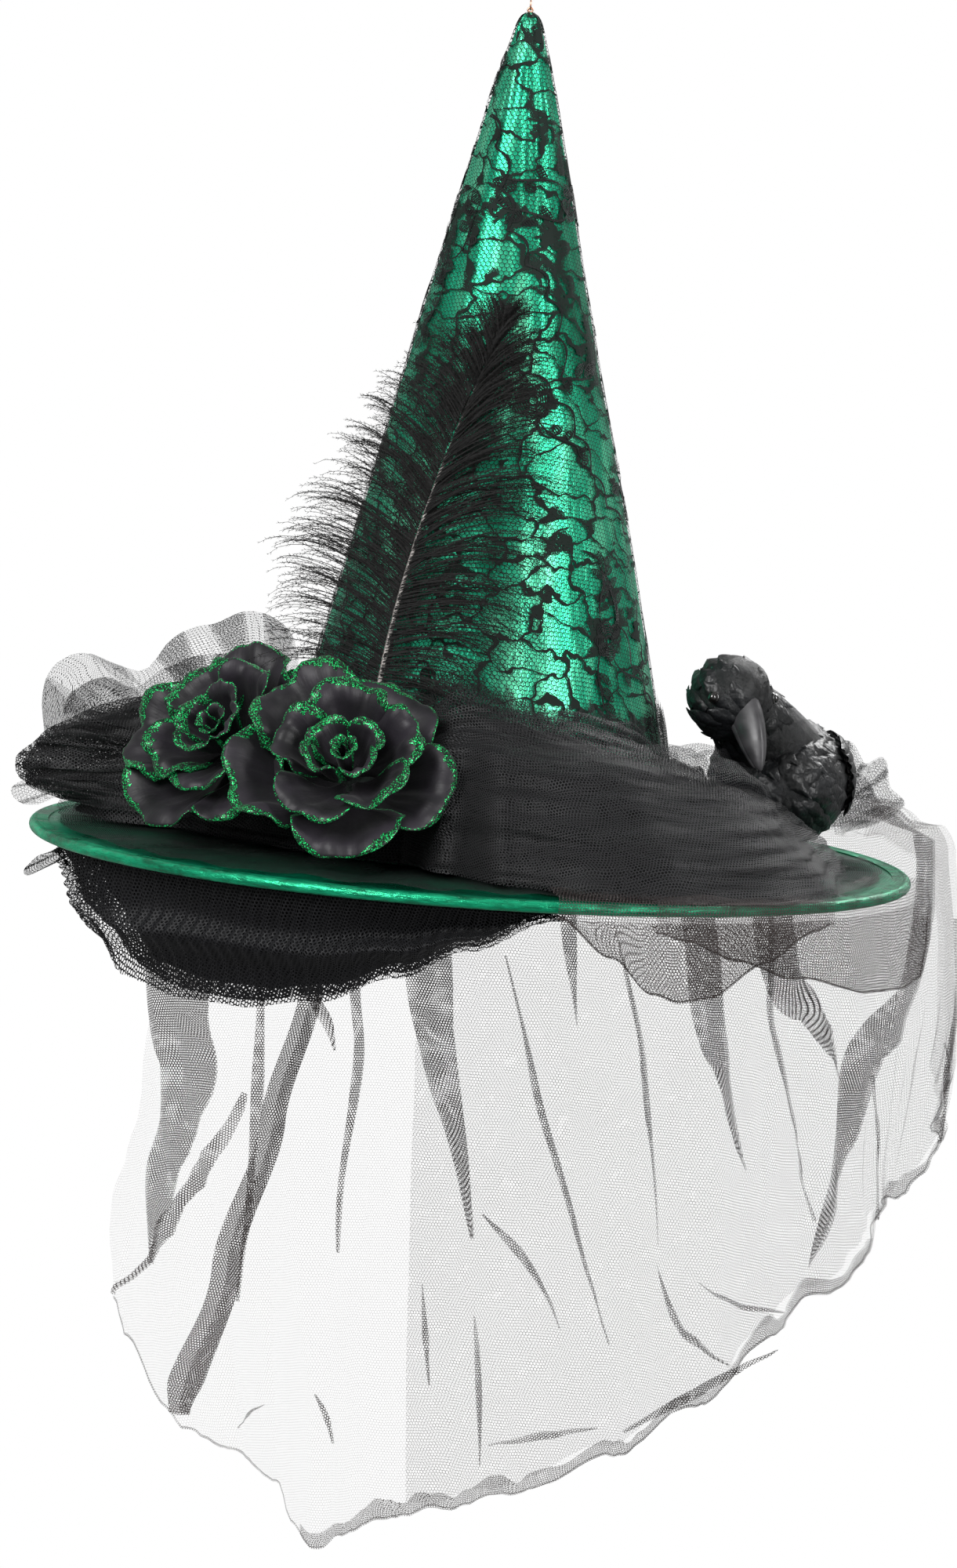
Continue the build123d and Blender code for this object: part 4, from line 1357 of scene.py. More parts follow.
def buildUnderTulle():
    for name, radius, sway, share, cell, thread, seed, node in underTulle["layers"]:
        def place(across, down):
            angle = lerp(underTulle["from"], underTulle["to"], across)
            drop = -curveAt(underTulle["hem"], angle) * share
            height = lerp(4.2, drop, down)
            rib = math.sin(
                across * underTulle["ribs"] * 2 * math.pi + down * 9 + 2 * wobble(across * 6, down * 2, seed)
            )
            belly = math.sin(math.pi * min(down * 1.1, 1)) * 7 * wobble(across * 4 + seed, down * 1.5)
            r = (
                radius - sway * down ** 1.5 + belly + rib * 0.9
                + 5 * smooth(0.82, 1.0, down) * wobble(across * 9, seed)
            )
            roll = 7.5 * math.exp(-((down - 0.55 - 0.2 * wobble(across * 3, seed)) / 0.12) ** 2)
            spot = cylinderSpot(r + roll, angle, -height)
            spot.x += veil["lean"] * height * mm
            return spot
        layer = clothGrid(name, 420, 40, place)
        flipIfInward(layer, lambda spot: Vector((spot.x, spot.y, 0)))
        cloth = (
            netCloth(name, cell, thread, (0.005, 0.005, 0.006), 0.2) if cell else tulleCore(name, 0.0022, 1.1)
        )
        dress(layer, cloth, slotName="stiff_net", stands=[node])
        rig.sheet(layer, **underCut(radius, sway, share), held="gathered", rests_on=["brim_under_cover"])
    print("under layers made")


# gathered tulle on the brim

swags = {
    "front": {
        "from": -104, "to": -14, "seed": 3.0,
        "crest": [(-104, 66), (-92, 72), (-72, 67), (-45, 60), (-30, 50), (-22, 49), (-14, 34)],
        "reach": [
            (-104, 122), (-94, 142), (-84, 166), (-72, 188), (-62, 198), (-48, 201), (-39, 199), (-31, 184),
            (-22, 176), (-14, 168)
        ],
        "lip": [
            (-104, 6), (-80, 5), (-70, 5), (-64, 4), (-56, 3), (-44, 4), (-38, 6), (-32, 9), (-22, 10),
            (-14, 6)
        ],
    },
    "left": {
        "from": 150, "to": 262, "seed": 11.0,
        "crest": [(150, 44), (165, 54), (185, 58), (205, 52), (225, 40), (262, 46)],
        "reach": [(150, 150), (165, 172), (178, 182), (188, 166), (198, 132), (215, 120), (262, 116)],
        "lip": [(150, 5), (262, 5)],
    },
    "back": {
        "from": 40, "to": 150, "seed": 19.0,
        "crest": [(40, 34), (60, 48), (95, 52), (130, 50), (150, 44)],
        "reach": [(40, 128), (60, 148), (95, 158), (130, 160), (150, 150)],
        "lip": [(40, 5), (150, 5)],
    },
    "right": {
        "from": -14, "to": 42, "seed": 27.0,
        "crest": [(-14, 34), (10, 40), (42, 34)],
        "reach": [(-14, 104), (10, 104), (42, 128)],
        "lip": [(-14, 5), (42, 5)],
    },
}


def swagSpot(band, across, down, lift, folds, extra=0.0):
    angle = lerp(band["from"], band["to"], across)
    crest = curveAt(band["crest"], angle) + lift * 0.6
    reach = curveAt(band["reach"], angle) + lift * 0.3
    lip = curveAt(band["lip"], angle)
    inner = crown["foot"] - crown["slope"] * crest + 3.0
    share = down
    if share < 0.16:
        part = share / 0.16
        radius, height = inner + part * 9, crest - 7 * (1 - part) ** 2
    else:
        part = (share - 0.16) / 0.84
        radius = lerp(inner + 9, reach, 1 - (1 - part) ** 1.25)
        height = lerp(lip, crest, math.cos(part * math.pi / 2) ** 1.15)
    ends = smooth(0, 0.08, across) * (1 - smooth(0.93, 1.0, across))
    seed = band["seed"] + extra
    ribs = (
        7.5 * wobble(down * 4.2 + across * 2.2, across * 2.0, seed + 8)
        + 4.4 * wobble(down * 8 + across * 2.2, across * 2.4, seed)
    )
    ribs += 2.6 * wobble(down * 19 + across * 3.0, across * 3.2, seed + 2)
    ribs += 0.9 * wobble(down * 44 - across * 4.0, across * 6, seed + 5)
    push = (lift + folds * ribs) * (0.35 + 0.65 * ends)
    steep = min(down * 1.2, 1.0) * math.pi / 2
    spot = cylinderSpot(radius + push * math.sin(steep) * 0.8, angle, height + push * math.cos(steep))
    spot.z = max(spot.z, (2.6 + 0.15 * lift) * mm) if lip > 0 or radius < 195 else spot.z
    return spot


def swagCut(band, fullness):
    # a quarter ellipse from the crest to the lip with a collar at the crown, along the swag's arc
    angles = slices(band["from"], band["to"], 200)
    turn = math.radians(band["to"] - band["from"])
    longest, farthest, area = 0.0, 0.0, 0.0
    for angle in angles:
        crest, reach, lip = (lineAt(band[part], angle) for part in ("crest", "reach", "lip"))
        inner = crown["foot"] - crown["slope"] * crest + 3
        run = 11 + math.pi / 2 * math.sqrt(((reach - inner - 9) ** 2 + (crest - lip) ** 2) / 2)
        area += run * (inner + reach) / 2 * turn / len(angles)
        longest, farthest = max(longest, run), max(farthest, reach)
    return flatCut(fullness * farthest * turn, longest, fullness * area)


def buildSwags():
    core = tulleCore("tulleCore", 0.0028, 0.2)
    middle = netCloth("tulleMiddle", 0.0016, 0.26, (0.008, 0.008, 0.0085))
    outer = netCloth("tulleOuter", 0.0016, 0.12, (0.010, 0.010, 0.011))
    nodes = {
        "front": "tulle_swag_front", "left": "tulle_band_left", "back": "tulle_band_back",
        "right": "tulle_band_right"
    }
    for side, band in swags.items():
        title = side.capitalize()
        columns, rows = (260, 110) if side == "front" else (200, 80)
        inside = clothGrid(f"tulleSwag{title}", columns, rows, lambda a, d: swagSpot(band, a, d, -3.5, 0.8))
        flipIfInward(inside, lambda spot: Vector((spot.x, spot.y, 0.1)))
        dress(inside, core, slotName="tulle", stands=[nodes[side]])
        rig.sheet(
            inside, **swagCut(band, 1.05), held="gathered", rests_on=["brim_top_satin", "crown_stiffener"]
        )
        for number, (lift, folds, material) in enumerate(((0.8, 1.1, middle), (4.5, 1.5, outer))):
            layer = clothGrid(
                f"tulleSwag{title}Layer{number + 1}", columns, rows, lambda a, d: swagSpot(band, a, d, lift, folds, number + 1.0)
            )
            flipIfInward(layer, lambda spot: Vector((spot.x, spot.y, 0.1)))
            dress(layer, material, slotName="tulle")
            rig.sheet(layer, **swagCut(band, 1.15 + 0.1 * number), held="gathered", rests_on=[inside])
    print("swags gathered")


baseBand = {"height": 70, "gathers": 60}


def buildBaseBand():
    # a gathered strip of dense lace round the crown's foot
    def place(across, down):
        angle = 90 + 360 * across
        top = (
            baseBand["height"] + 12 * wobble(cosd(angle) * 3, sind(angle) * 3) + 6 * wobble(angle * 0.35, 2.0)
            + 4 * wobble(angle * 1.1, 2.0)
        )
        top += 14 * math.exp(-((angle - 262) / 22) ** 2)
        height = lerp(top, 3.0, down)
        gather = 0.5 * math.sin(math.radians(angle) * baseBand["gathers"] + 3 * wobble(angle * 0.1, down * 2))
        point = crownPoint(angle, height, 2.4 + gather + 1.2 * wobble(angle * 0.2, down * 3, 4.0))
        return point
    strip = clothGrid("crownFootBand", 420, 24, place)
    flipIfInward(strip, lambda spot: Vector((spot.x, spot.y, 0)))
    dress(strip, netCloth("footBandNet", 0.0013, 0.36, (0.003, 0.006, 0.005), 0.9), slotName="tulle")
    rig.sheet(strip, **flatCut(2 * math.pi * 98.5 * 1.05, 74), held="gathered", rests_on=["crown_stiffener"])

    def film(across, down):
        angle = 360 * across
        radius = lerp(99, 187.0 + 4 * wobble(angle * 0.1, 2.0), down)
        height = (
            2.5 + 1.5 * (0.5 + wobble(angle * 0.16, radius * 0.012, 6.0))
            + 0.5 * wobble(angle * 0.5, radius * 0.05)
        )
        height += 0.6 * abs(math.sin(math.radians(angle) * 19 + 2 * wobble(angle * 0.05, 1.0)))
        return cylinderSpot(radius, angle, height)
    over = clothGrid("brimTulleFilm", 420, 30, film)
    flipIfInward(over, lambda spot: Vector((0, 0, 1)))
    dress(over, netCloth("filmNet", 0.0012, 0.38, (0.003, 0.006, 0.005), 0.7), slotName="tulle")
    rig.sheet(
        over, **flatCut(374, 374, math.pi * (187 ** 2 - 99 ** 2)), held="laid", rests_on=["brim_top_satin"]
    )
    print("brim film laid")


poufs = {  # where each bunch is rooted, its outer edge, its depth to the front and back, pleats and seed
    "core": [
        {
            "root": [(-118, -8, 44), (-112, -24, 30), (-108, -40, 14)],
            "rim": [
                (-150, -4, 59), (-178, -8, 49), (-195, -8, 42), (-205, -6, 34), (-211, -4, 24), (-204, -6, 17),
                (-190, -12, 13), (-168, -22, 9), (-143, -34, 8),
            ],
            "front": 9, "back": 20, "pleats": 11, "seed": 1.0, "ruffle": 6.0,
        },
        {
            "root": [(-112, 16, 46), (-110, 8, 26), (-106, 0, 10)],
            "rim": [
                (-146, 34, 58), (-172, 36, 50), (-192, 32, 42), (-203, 26, 31), (-208, 18, 22), (-202, 12, 14),
                (-186, 8, 9), (-162, 2, 8), (-140, -6, 7),
            ],
            "front": 9, "back": 24, "pleats": 9, "seed": 7.0, "ruffle": 6.0,
        },
    ],
    "veilLike": [
        {
            "root": [(-168, 10, 36), (-138, 12, 46), (-104, 8, 52), (-92, 6, 50)],
            "rim": [
                (-197, 20, 36), (-200, 24, 54), (-196, 26, 68), (-184, 28, 75), (-168, 28, 71), (-155, 28, 69),
                (-144, 28, 83), (-134, 30, 90), (-124, 30, 93), (-112, 32, 99), (-100, 32, 99), (-89, 30, 91), (-84, 26, 80),
            ],
            "front": 10, "back": 22, "pleats": 5, "seed": 13.0, "ruffle": 2.2, "press": 3.1,
        },
        {
            "root": [(-160, 4, 34), (-130, 4, 44), (-104, 2, 50)],
            "rim": [
                (-190, 8, 42), (-186, 10, 58), (-172, 12, 66), (-158, 14, 62), (-146, 14, 72), (-132, 14, 78), (-116, 14, 80),
                (-102, 12, 74),
            ],
            "front": 6, "back": 18, "pleats": 4, "seed": 17.0, "ruffle": 2.5, "press": 3.3,
        },
        {
            "root": [(-178, 30, 16), (-170, 24, 26)],
            "rim": [(-200, 12, 4), (-208, 10, 7), (-210, 10, 13), (-203, 10, 17), (-194, 12, 16)],
            "front": 4, "back": 10, "pleats": 3, "seed": 19.0, "ruffle": 1.5,
        },
    ],
    "tuft": [
        {
            "root": [(166, 30, 16), (160, 34, 36)],
            "rim": [
                (176, 30, 22), (188, 34, 24), (198, 38, 32), (191, 40, 39), (187, 42, 52), (178, 44, 48),
                (171, 46, 57), (160, 48, 58)
            ],
            "front": 8, "back": 16, "pleats": 5, "seed": 23.0, "ruffle": 3.0,
        },
        {
            "root": [(160, 20, 20), (154, 40, 38)],
            "rim": [(172, 20, 22), (186, 26, 27), (184, 34, 36), (174, 40, 46), (160, 44, 54)],
            "front": 6, "back": 14, "pleats": 5, "seed": 29.0, "ruffle": 4.0,
        },
    ],
    "under": [
        {
            "root": [(-176, -34, -2), (-166, -14, -3)],
            "rim": [(-178, -50, -7), (-192, -44, -11), (-199, -36, -19), (-198, -22, -23), (-190, -8, -20)],
            "front": 3, "back": 8, "pleats": 3, "seed": 37.0, "ruffle": 2.0,
        },
    ],
}


def poufSheet(name, plan, lift=0.0, grid=(150, 56)):
    # net gathered at its root, turned over at its outer edge and brought back behind
    seed = plan["seed"] + lift

    def place(across, down):
        fold = plan["pleats"]
        share = (
            across
            + plan.get("press", 1.9) / (2 * math.pi * fold) * math.sin(2 * math.pi * fold * across + 3 * wobble(across * 4, seed))
        )
        rim = pointAlong(plan["rim"], share)
        root = pointAlong(plan["root"], across)
        turned = 0.58
        front = down <= turned
        reach = down / turned if front else 1 - (down - turned) / (1 - turned)
        swell = math.sin(math.pi * reach * 0.92) ** 0.8
        pull = plan["front"] if front else -plan["back"]
        base = root if front else root + Vector((4, 14, -2))
        spot = base.lerp(rim, reach ** 0.85 * (1 - 0.03 * lift))
        away = (rim - root).normalized()
        crimp = plan["ruffle"] * (0.35 + 0.65 * reach)
        spot += away * crimp * 0.55 * wobble(share * 9, reach * 2.5, seed)
        spot.z += swell * crimp * 0.8 * wobble(share * 7 + 5, reach * 2.2, seed)
        spot.y -= swell * pull * (0.7 + 0.6 * wobble(share * 3, reach, seed))
        spot.y += crimp * wobble(across * 14, reach * 3.5, seed + 4)
        if root.z > 0 and math.hypot(spot.x, spot.y) < 204:
            spot.z = max(spot.z, 5.4 + 0.6 * lift)
        return spot * mm

    return clothGrid(name, *grid, place)


def pathLength(points):
    return sum(math.dist(one, two) for one, two in zip(points, points[1:]))


def bunchCut(plans, layers):
    # the pleated rim and the root, by the way out and back
    widths, runs, area = 0.0, [], 0.0
    for plan in plans:
        press = plan.get("press", 1.9)
        pleated = sum(abs(1 + press * math.cos(math.pi * step / 1000)) for step in range(2000)) / 2000
        rim, root = pathLength(plan["rim"]) * pleated, pathLength(plan["root"])
        ends = [
            [sum(place[axis] for place in plan[part]) / len(plan[part]) for axis in range(3)]
            for part in ("rim", "root")
        ]
        run = math.dist(*ends) * 2 + (plan["front"] + plan["back"]) / 2
        area += (rim + root) / 2 * run * layers
        widths += rim * layers
        runs.append(run)
    return flatCut(widths, max(runs), area)


def buildPoufs():
    black = (0.008, 0.008, 0.0085)
    plans = [
        ("tullePoufLeft", "core", (0.0, 2.0), 0.27, ["tulle_pouf_left"], "tulle"),
        ("tulleBowLeft", "veilLike", (0.0,), 0.088, ["tulle_bow_left"], "tulle"),
        ("tulleTuftRight", "tuft", (0.0, 1.5), 0.075, ["tulle_tuft_right"], "tulle"),
        ("underTulleTuft", "under", (0.0,), 0.2, [], "stiff_net"),
    ]
    for name, kind, lifts, thread, nodes, slotName in plans:
        sheets = []
        for number, plan in enumerate(poufs[kind]):
            sheets += [poufSheet(f"{name}{number}{lift:.0f}", plan, lift) for lift in lifts]
        piece = joinPieces(sheets, name)
        dress(piece, netCloth(f"{name}Net", 0.0016, thread, black), slotName=slotName, stands=nodes)
        below = "brim_top_satin" if nodes else "brim_under_cover"
        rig.sheet(piece, **bunchCut(poufs[kind], len(lifts)), held="gathered", rests_on=[below])
    print("poufs and tufts made")


buildVeil()
buildFrontLoop()
buildTail()
buildUnderTulle()
buildSwags()
buildBaseBand()
buildPoufs()

# roses

roses = {
    "front": {"middle": (-55, -119, 42), "facing": (-0.12, -0.76, 0.64), "size": 1.0, "turn": 24, "seed": 5},
    "back": {"middle": (-107, -75, 47), "facing": (-0.52, -0.62, 0.58), "size": 0.98, "turn": 70, "seed": 12},
}
# petals, foot radius, foot height, length, half width in degrees, lean of foot, middle and rim, ruffle
petalRings = {
    "outer": (5, 4, -6, 53, 43, (82, 56, 112), 6.5),
    "middle": (5, 4, -1, 41, 46, (66, 40, 108), 5.0),
    "inner": (4, 3, 2, 30, 58, (44, 16, 96), 3.4),
    "bud": (3, 1.2, 3, 24, 88, (20, 4, 70), 1.8),
}


def petalSatin():
    # black petal cloth with loose flakes stuck along the rim; U is the distance from the rim and V runs
    # across
    material, shader, w = newMaterial("petalSatin")
    place, cloth = w.place(), w.cloth()
    rim, across, _ = w.parts(cloth)
    streak = w.noise(
        w.combine(w.sums("MULTIPLY", rim, 30.0), w.sums("MULTIPLY", across, 330.0)), 1.0, 3.0, 0.6
    )[0]
    patch = w.noise(place, 55.0, 2.0)[0]
    shade = w.mix(w.ramp(patch, 0.3, 0.75), (0.004, 0.0038, 0.005, 1), (0.020, 0.016, 0.023, 1))
    shade = w.mix(w.sums("MULTIPLY", streak, 0.35), shade, (0.006, 0.006, 0.007, 1))
    width = w.ramp(w.noise(place, 34.0, 1.0)[0], 0.38, 0.62, (0.0007, 0.0044))
    flakes = w.useGroup(glitter, Place=place, Rim=rim, Width=width)
    # the flakes' own green, made brighter by Sparkle: partly real flake colour, partly painted glint
    flakeGreenAndGlint = w.mix(w.ramp(flakes["Sparkle"], 0.25, 0.8), (0.0005, 0.010, 0.004, 1), (0.01, 0.70, 0.17, 1))
    w.put(shader.inputs["Base Color"], w.mix(flakes["Mask"], shade, flakeGreenAndGlint))
    w.put(shader.inputs["Roughness"], w.blendNumber(flakes["Mask"], 0.5, 0.3))
    w.put(shader.inputs["Metallic"], w.sums("MULTIPLY", flakes["Mask"], 0.35))
    # painted glint: the flakes glow a little though they are no lamp
    w.put(
        shader.inputs["Emission Color"],
        w.mix(w.sums("MULTIPLY", flakes["Mask"], flakes["Sparkle"]), (0, 0, 0, 1), (0.03, 0.7, 0.2, 1))
    )
    shader.inputs["Emission Strength"].default_value = 0.16
    height = w.sums(
        "ADD", w.sums("MULTIPLY", w.sums("ADD", streak, w.noise(place, 160.0, 2.0)[0]), 0.9),
        w.sums("MULTIPLY", w.sums("MULTIPLY", flakes["Mask"], flakes["Height"]), 1.2)
    )
    w.put(shader.inputs["Normal"], w.bump(height, 0.6, 0.0005))
    shader.inputs["Specular IOR Level"].default_value = 0.35
    shader.inputs["Sheen Weight"].default_value = 0.05
    return material


def roseAxes(plan):
    facing = Vector(plan["facing"]).normalized()
    side = facing.cross(Vector((0, 0, 1))).normalized()
    return side, facing.cross(side).normalized(), facing


def petalProfile(foot, height, length, leans, steps=40):
    # radius and height along a petal, from its foot to its rim
    low, middle, high = leans
    path = [(foot, height)]
    for step in range(steps):
        share = (step + 0.5) / steps
        lean = (
            lerp(low, middle, smooth(0, 0.55, share))
            if share < 0.72 else lerp(middle, high, smooth(0.72, 1.0, share))
        )
        foot += length / steps * sind(lean)
        height += length / steps * cosd(lean)
        path.append((foot, height))
    return path


def petal(name, plan, ring, number, grid=(26, 26)):
    count, foot, rise, length, spread, leans, ruffle = petalRings[ring]
    rng = random.Random(plan["seed"] * 97 + number * 13 + len(ring) * 7)
    size = plan["size"] * rng.uniform(0.93, 1.06)
    heading = (
        plan["turn"] + 360 * number / count + rng.uniform(-9, 9)
        + {"outer": 0, "middle": 36, "inner": 20, "bud": 60}[ring]
    )
    leans = tuple(lean + rng.uniform(-7, 7) for lean in leans)
    path = petalProfile(foot, rise, length * size, leans)
    side, other, facing = roseAxes(plan)
    middle = Vector(plan["middle"])
    seed = rng.uniform(0, 40)
    notch = rng.uniform(0.02, 0.07)

    def place(across, down):
        s = 2 * across - 1
        t = (1 - down) * (1 - 0.30 * abs(s) ** 2.6 - notch * math.exp(-(s / 0.16) ** 2) * (1 - down))
        spot = t * (len(path) - 1)
        low = min(int(spot), len(path) - 2)
        share = spot - low
        radius = lerp(path[low][0], path[low + 1][0], share)
        height = lerp(path[low][1], path[low + 1][1], share)
        runX, runY = path[low + 1][0] - path[low][0], path[low + 1][1] - path[low][1]
        run = math.hypot(runX, runY)
        inX, inY = -runY / run, runX / run
        wide = spread * (0.42 + 0.58 * smooth(0, 0.5, t))
        push = ruffle * t ** 2.2 * (
            1.3 * wobble(s * 1.7 + seed, t * 1.3) + 0.6 * wobble(s * 4.6 + seed, t * 2.0, 3.0)
        )
        push += (
            ruffle * 0.75 * (s * s - 0.35) * smooth(0.1, 0.6, t) - ruffle * 0.9 * smooth(0.8, 1.0, abs(s)) * t
        )
        push += number * 0.35
        radius += inX * push
        height += inY * push
        angle = heading + wide * s
        out = side * cosd(angle) + other * sind(angle)
        return (middle + out * radius + facing * height) * mm

    obj = clothGrid(name, *grid, place)
    layer = obj.data.uv_layers[0].data
    half = length * size * math.radians(spread) * 0.62
    for loop in obj.data.loops:
        row, column = divmod(loop.vertex_index, grid[0] + 1)
        t, s = row / grid[1], 2 * column / grid[0] - 1
        top = (1 - t) * length * size * 0.85
        edge = (1 - abs(s)) * half + 24 * (1 - smooth(0.2, 0.42, t))
        layer[loop.index].uv = (min(top, edge) * mm, s * half * mm)
    flipIfInward(obj, lambda place: facing)
    return obj


def petalCut(plan, ring, together):
    # a petal's length by its widest place, with rounded corners, for so many petals
    count, radius, rise, length, spread, (low, middle, high), ruffle = petalRings[ring]
    length *= plan["size"]
    steps = slices(0, 1, 60)
    widest, area = 0.0, 0.0
    for share in steps:
        lean = (
            lerp(low, middle, smooth(0, 0.55, share))
            if share < 0.72 else lerp(middle, high, smooth(0.72, 1, share))
        )
        width = 2 * math.radians(spread * (0.42 + 0.58 * smooth(0, 0.5, share))) * radius
        widest = max(widest, width)
        area += width * length / len(steps)
        radius += length / len(steps) * sind(lean)
    return flatCut(widest * together, length, 0.9 * area * together)


def buildRoses():
    satin = petalSatin()
    felt = plainCloth("roseFelt", (0.008, 0.012, 0.010), 0.0007, 0.95)
    for name, plan in roses.items():
        title = name.capitalize()
        groups = [
            (f"rose{title}Petal{n + 1}", [("outer", n)], f"rose_{name}_petal_{n + 1}") for n in range(5)
        ]
        groups.append((f"rose{title}MiddlePetals", [("middle", n) for n in range(5)], f"rose_{name}_middle_petals"))
        groups.append((f"rose{title}InnerPetals", [("inner", n) for n in range(4)], f"rose_{name}_inner_petals"))
        groups.append((f"rose{title}Bud", [("bud", n) for n in range(3)], f"rose_{name}_bud"))
        base = clothGrid(f"rose{title}Base", 24, 8, lambda across, down: roseBaseSpot(plan, across, down))
        dress(base, felt, slotName="rose_felt", stands=[f"rose_{name}_base"])
        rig.sheet(base, flat=(0.062, 0.062), area=0.0031, held="laid", rests_on=["brim_top_satin"])
        for label, members, node in groups:
            petals = [petal(f"{label}{n}", plan, ring, n) for ring, n in members]
            piece = joinPieces(petals, label)
            thick = piece.modifiers.new("thickness", "SOLIDIFY")
            thick.thickness = 0.45 * mm
            applyModifiers(piece)
            dress(piece, satin, slotName="rose_petal", stands=[node])
            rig.sheet(piece, **petalCut(plan, members[0][0], len(members)), held="folded", rests_on=[base])
    print("roses made")


def roseBaseSpot(plan, across, down):
    side, other, facing = roseAxes(plan)
    radius = 31 * down
    out = side * cosd(360 * across) + other * sind(360 * across)
    return (
        Vector(plan["middle"]) + out * radius
        + facing * (-7 - 3 * (down - 0.3) ** 2 + 0.8 * wobble(across * 6, down * 3))
    ) * mm


# plume

plume = {
    "azimuth": -105,
    "foot": 62,
    "standOff": 8,
    "length": 184,
    "barbs": 500,
    "quillRadius": 1.15,
    "left": {
        "length": [(0, 22), (0.08, 50), (0.22, 62), (0.42, 58), (0.62, 48), (0.8, 36), (0.93, 25), (1, 14)],
        "start": [(0, 66), (0.3, 52), (0.6, 42), (0.85, 30), (1, 8)],
        "turn": [(0, 46), (0.4, 42), (0.8, 34), (1, 22)],
    },
    "right": {
        "length": [(0, 30), (0.06, 56), (0.2, 70), (0.42, 70), (0.62, 60), (0.8, 42), (0.93, 26), (1, 14)],
        "start": [(0, 92), (0.2, 74), (0.5, 56), (0.8, 36), (1, 10)],
        "turn": [(0, 52), (0.4, 50), (0.8, 40), (1, 24)],
    },
}


def plumeAxes():
    tilt = crownHalfAngle
    turn = plume["azimuth"]
    outward = Vector((cosd(turn) * math.cos(tilt), sind(turn) * math.cos(tilt), math.sin(tilt)))
    across = Vector((-sind(turn), cosd(turn), 0))
    return outward, across, outward.cross(across)


def plumeSpot(up, side, off=0.0):
    outward, across, rise = plumeAxes()
    radius = crown["foot"] - crown["slope"] * plume["foot"] + plume["standOff"]
    root = Vector((cosd(plume["azimuth"]) * radius, sind(plume["azimuth"]) * radius, plume["foot"]))
    return root + rise * up + across * side + outward * off


def quillSide(up):
    return -25 + 0.0261 * up + 0.000951 * up * up


def plumeBarb(rng, side, share, corners, faces):
    plan = plume["left"] if side < 0 else plume["right"]
    length = (
        curveAt(plan["length"], share) * rng.uniform(0.72, 1.1) * (1 + 0.35 * wobble(share * 31, side * 4.0))
    )
    lean = curveAt(plan["start"], share) + rng.uniform(-6, 6) + 16 * wobble(share * 27, side * 9.0)
    turn = curveAt(plan["turn"], share) * rng.uniform(0.6, 1.5)
    arch, depth = rng.uniform(-2.5, 5.0), rng.uniform(-1.4, 1.6)
    up = 6 + share * (plume["length"] - 6)
    along, across = up, quillSide(up) + side * 0.4
    steps = 12
    path = []
    for step in range(steps + 1):
        part = step / steps
        heading = lean + turn * part ** 1.4 + 26 * smooth(0.75, 1.0, part) * rng.uniform(0.4, 1.3)
        off = depth + arch * math.sin(math.pi * part * 0.85) + 2.2 * (1 - part)
        path.append((Vector((along, across, off)), heading))
        along += length / steps * cosd(heading)
        across += side * length / steps * sind(heading)
    base = len(corners)
    for step, (spot, heading) in enumerate(path):
        half = 0.17 * (1 - step / steps) ** 0.6 + 0.05
        normal = Vector((sind(heading), -side * cosd(heading), 0))
        corners += [plumeSpot(*(spot + normal * half)) * mm, plumeSpot(*(spot - normal * half)) * mm]
        if step:
            first = base + 2 * step - 2
            faces.append((first, first + 1, first + 3, first + 2))
    for hair in range(38):
        part = (hair // 2 + rng.random()) / 19
        spot, heading = path[min(int(part * steps), steps - 1)]
        following = path[min(int(part * steps) + 1, steps)][0]
        spot = spot.lerp(following, part * steps - int(part * steps))
        way = 1 if hair % 2 else -1
        reach = (2.7 - 1.2 * part) * rng.uniform(0.6, 1.15) * (0.5 + 0.5 * smooth(0, 0.15, part))
        aim = heading + way * rng.uniform(28, 52)
        tip = spot + Vector((cosd(aim), side * sind(aim), rng.uniform(-0.5, 0.5))) * reach
        forward = Vector((cosd(heading), side * sind(heading), 0)) * 0.2
        first = len(corners)
        corners += [
            plumeSpot(*(spot - forward)) * mm, plumeSpot(*(spot + forward)) * mm, plumeSpot(*tip) * mm
        ]
        faces.append((first, first + 1, first + 2))


def buildPlume():
    material, shader, w = newMaterial("plumeBlack")
    tone = w.noise(w.place(), 160.0, 2.0)[0]
    w.put(shader.inputs["Base Color"], w.mix(tone, (0.0015, 0.0015, 0.0015, 1), (0.009, 0.0085, 0.008, 1)))
    shader.inputs["Roughness"].default_value = 0.6
    shader.inputs["Specular IOR Level"].default_value = 0.15
    for side, name, node in (
        (-1, "plumeVaneLeft", "feather_vane_left"), (1, "plumeVaneRight", "feather_vane_right")
    ):
        rng = random.Random(31 + side)
        corners, faces = [], []
        for number in range(plume["barbs"]):
            share = (number + rng.random()) / plume["barbs"]
            plumeBarb(rng, side, share ** 0.93, corners, faces)
        mesh = bpy.data.meshes.new(name)
        mesh.from_pydata(corners, [], faces)
        vane = bpy.data.objects.new(name, mesh)
        bpy.context.collection.objects.link(vane)
        dress(vane, material, slotName="plume", stands=[node])
    points = [plumeSpot(up, quillSide(up), 1.2) for up in (-10, 20, 60, 100, 140, 170, 186)]
    radii = [1.25, 1.2, 1.0, 0.75, 0.5, 0.3, 0.15]
    quill = tubeAlong("plumeQuill", points, radii)
    shiny, shader, w = newMaterial("quillHorn")
    tone = w.noise(w.place(), 90.0, 2.0)[0]
    w.put(shader.inputs["Base Color"], w.mix(tone, (0.10, 0.09, 0.085, 1), (0.50, 0.46, 0.43, 1)))
    shader.inputs["Roughness"].default_value = 0.3
    dress(quill, shiny, slotName="quill", stands=["feather_quill"])
    wrap = frame["nodes"]["feather_wrap"].data
    wrap.materials.clear()
    wrap.materials.append(plainCloth("wrapTape", (0.01, 0.014, 0.012), 0.0009))
    print("plume made")


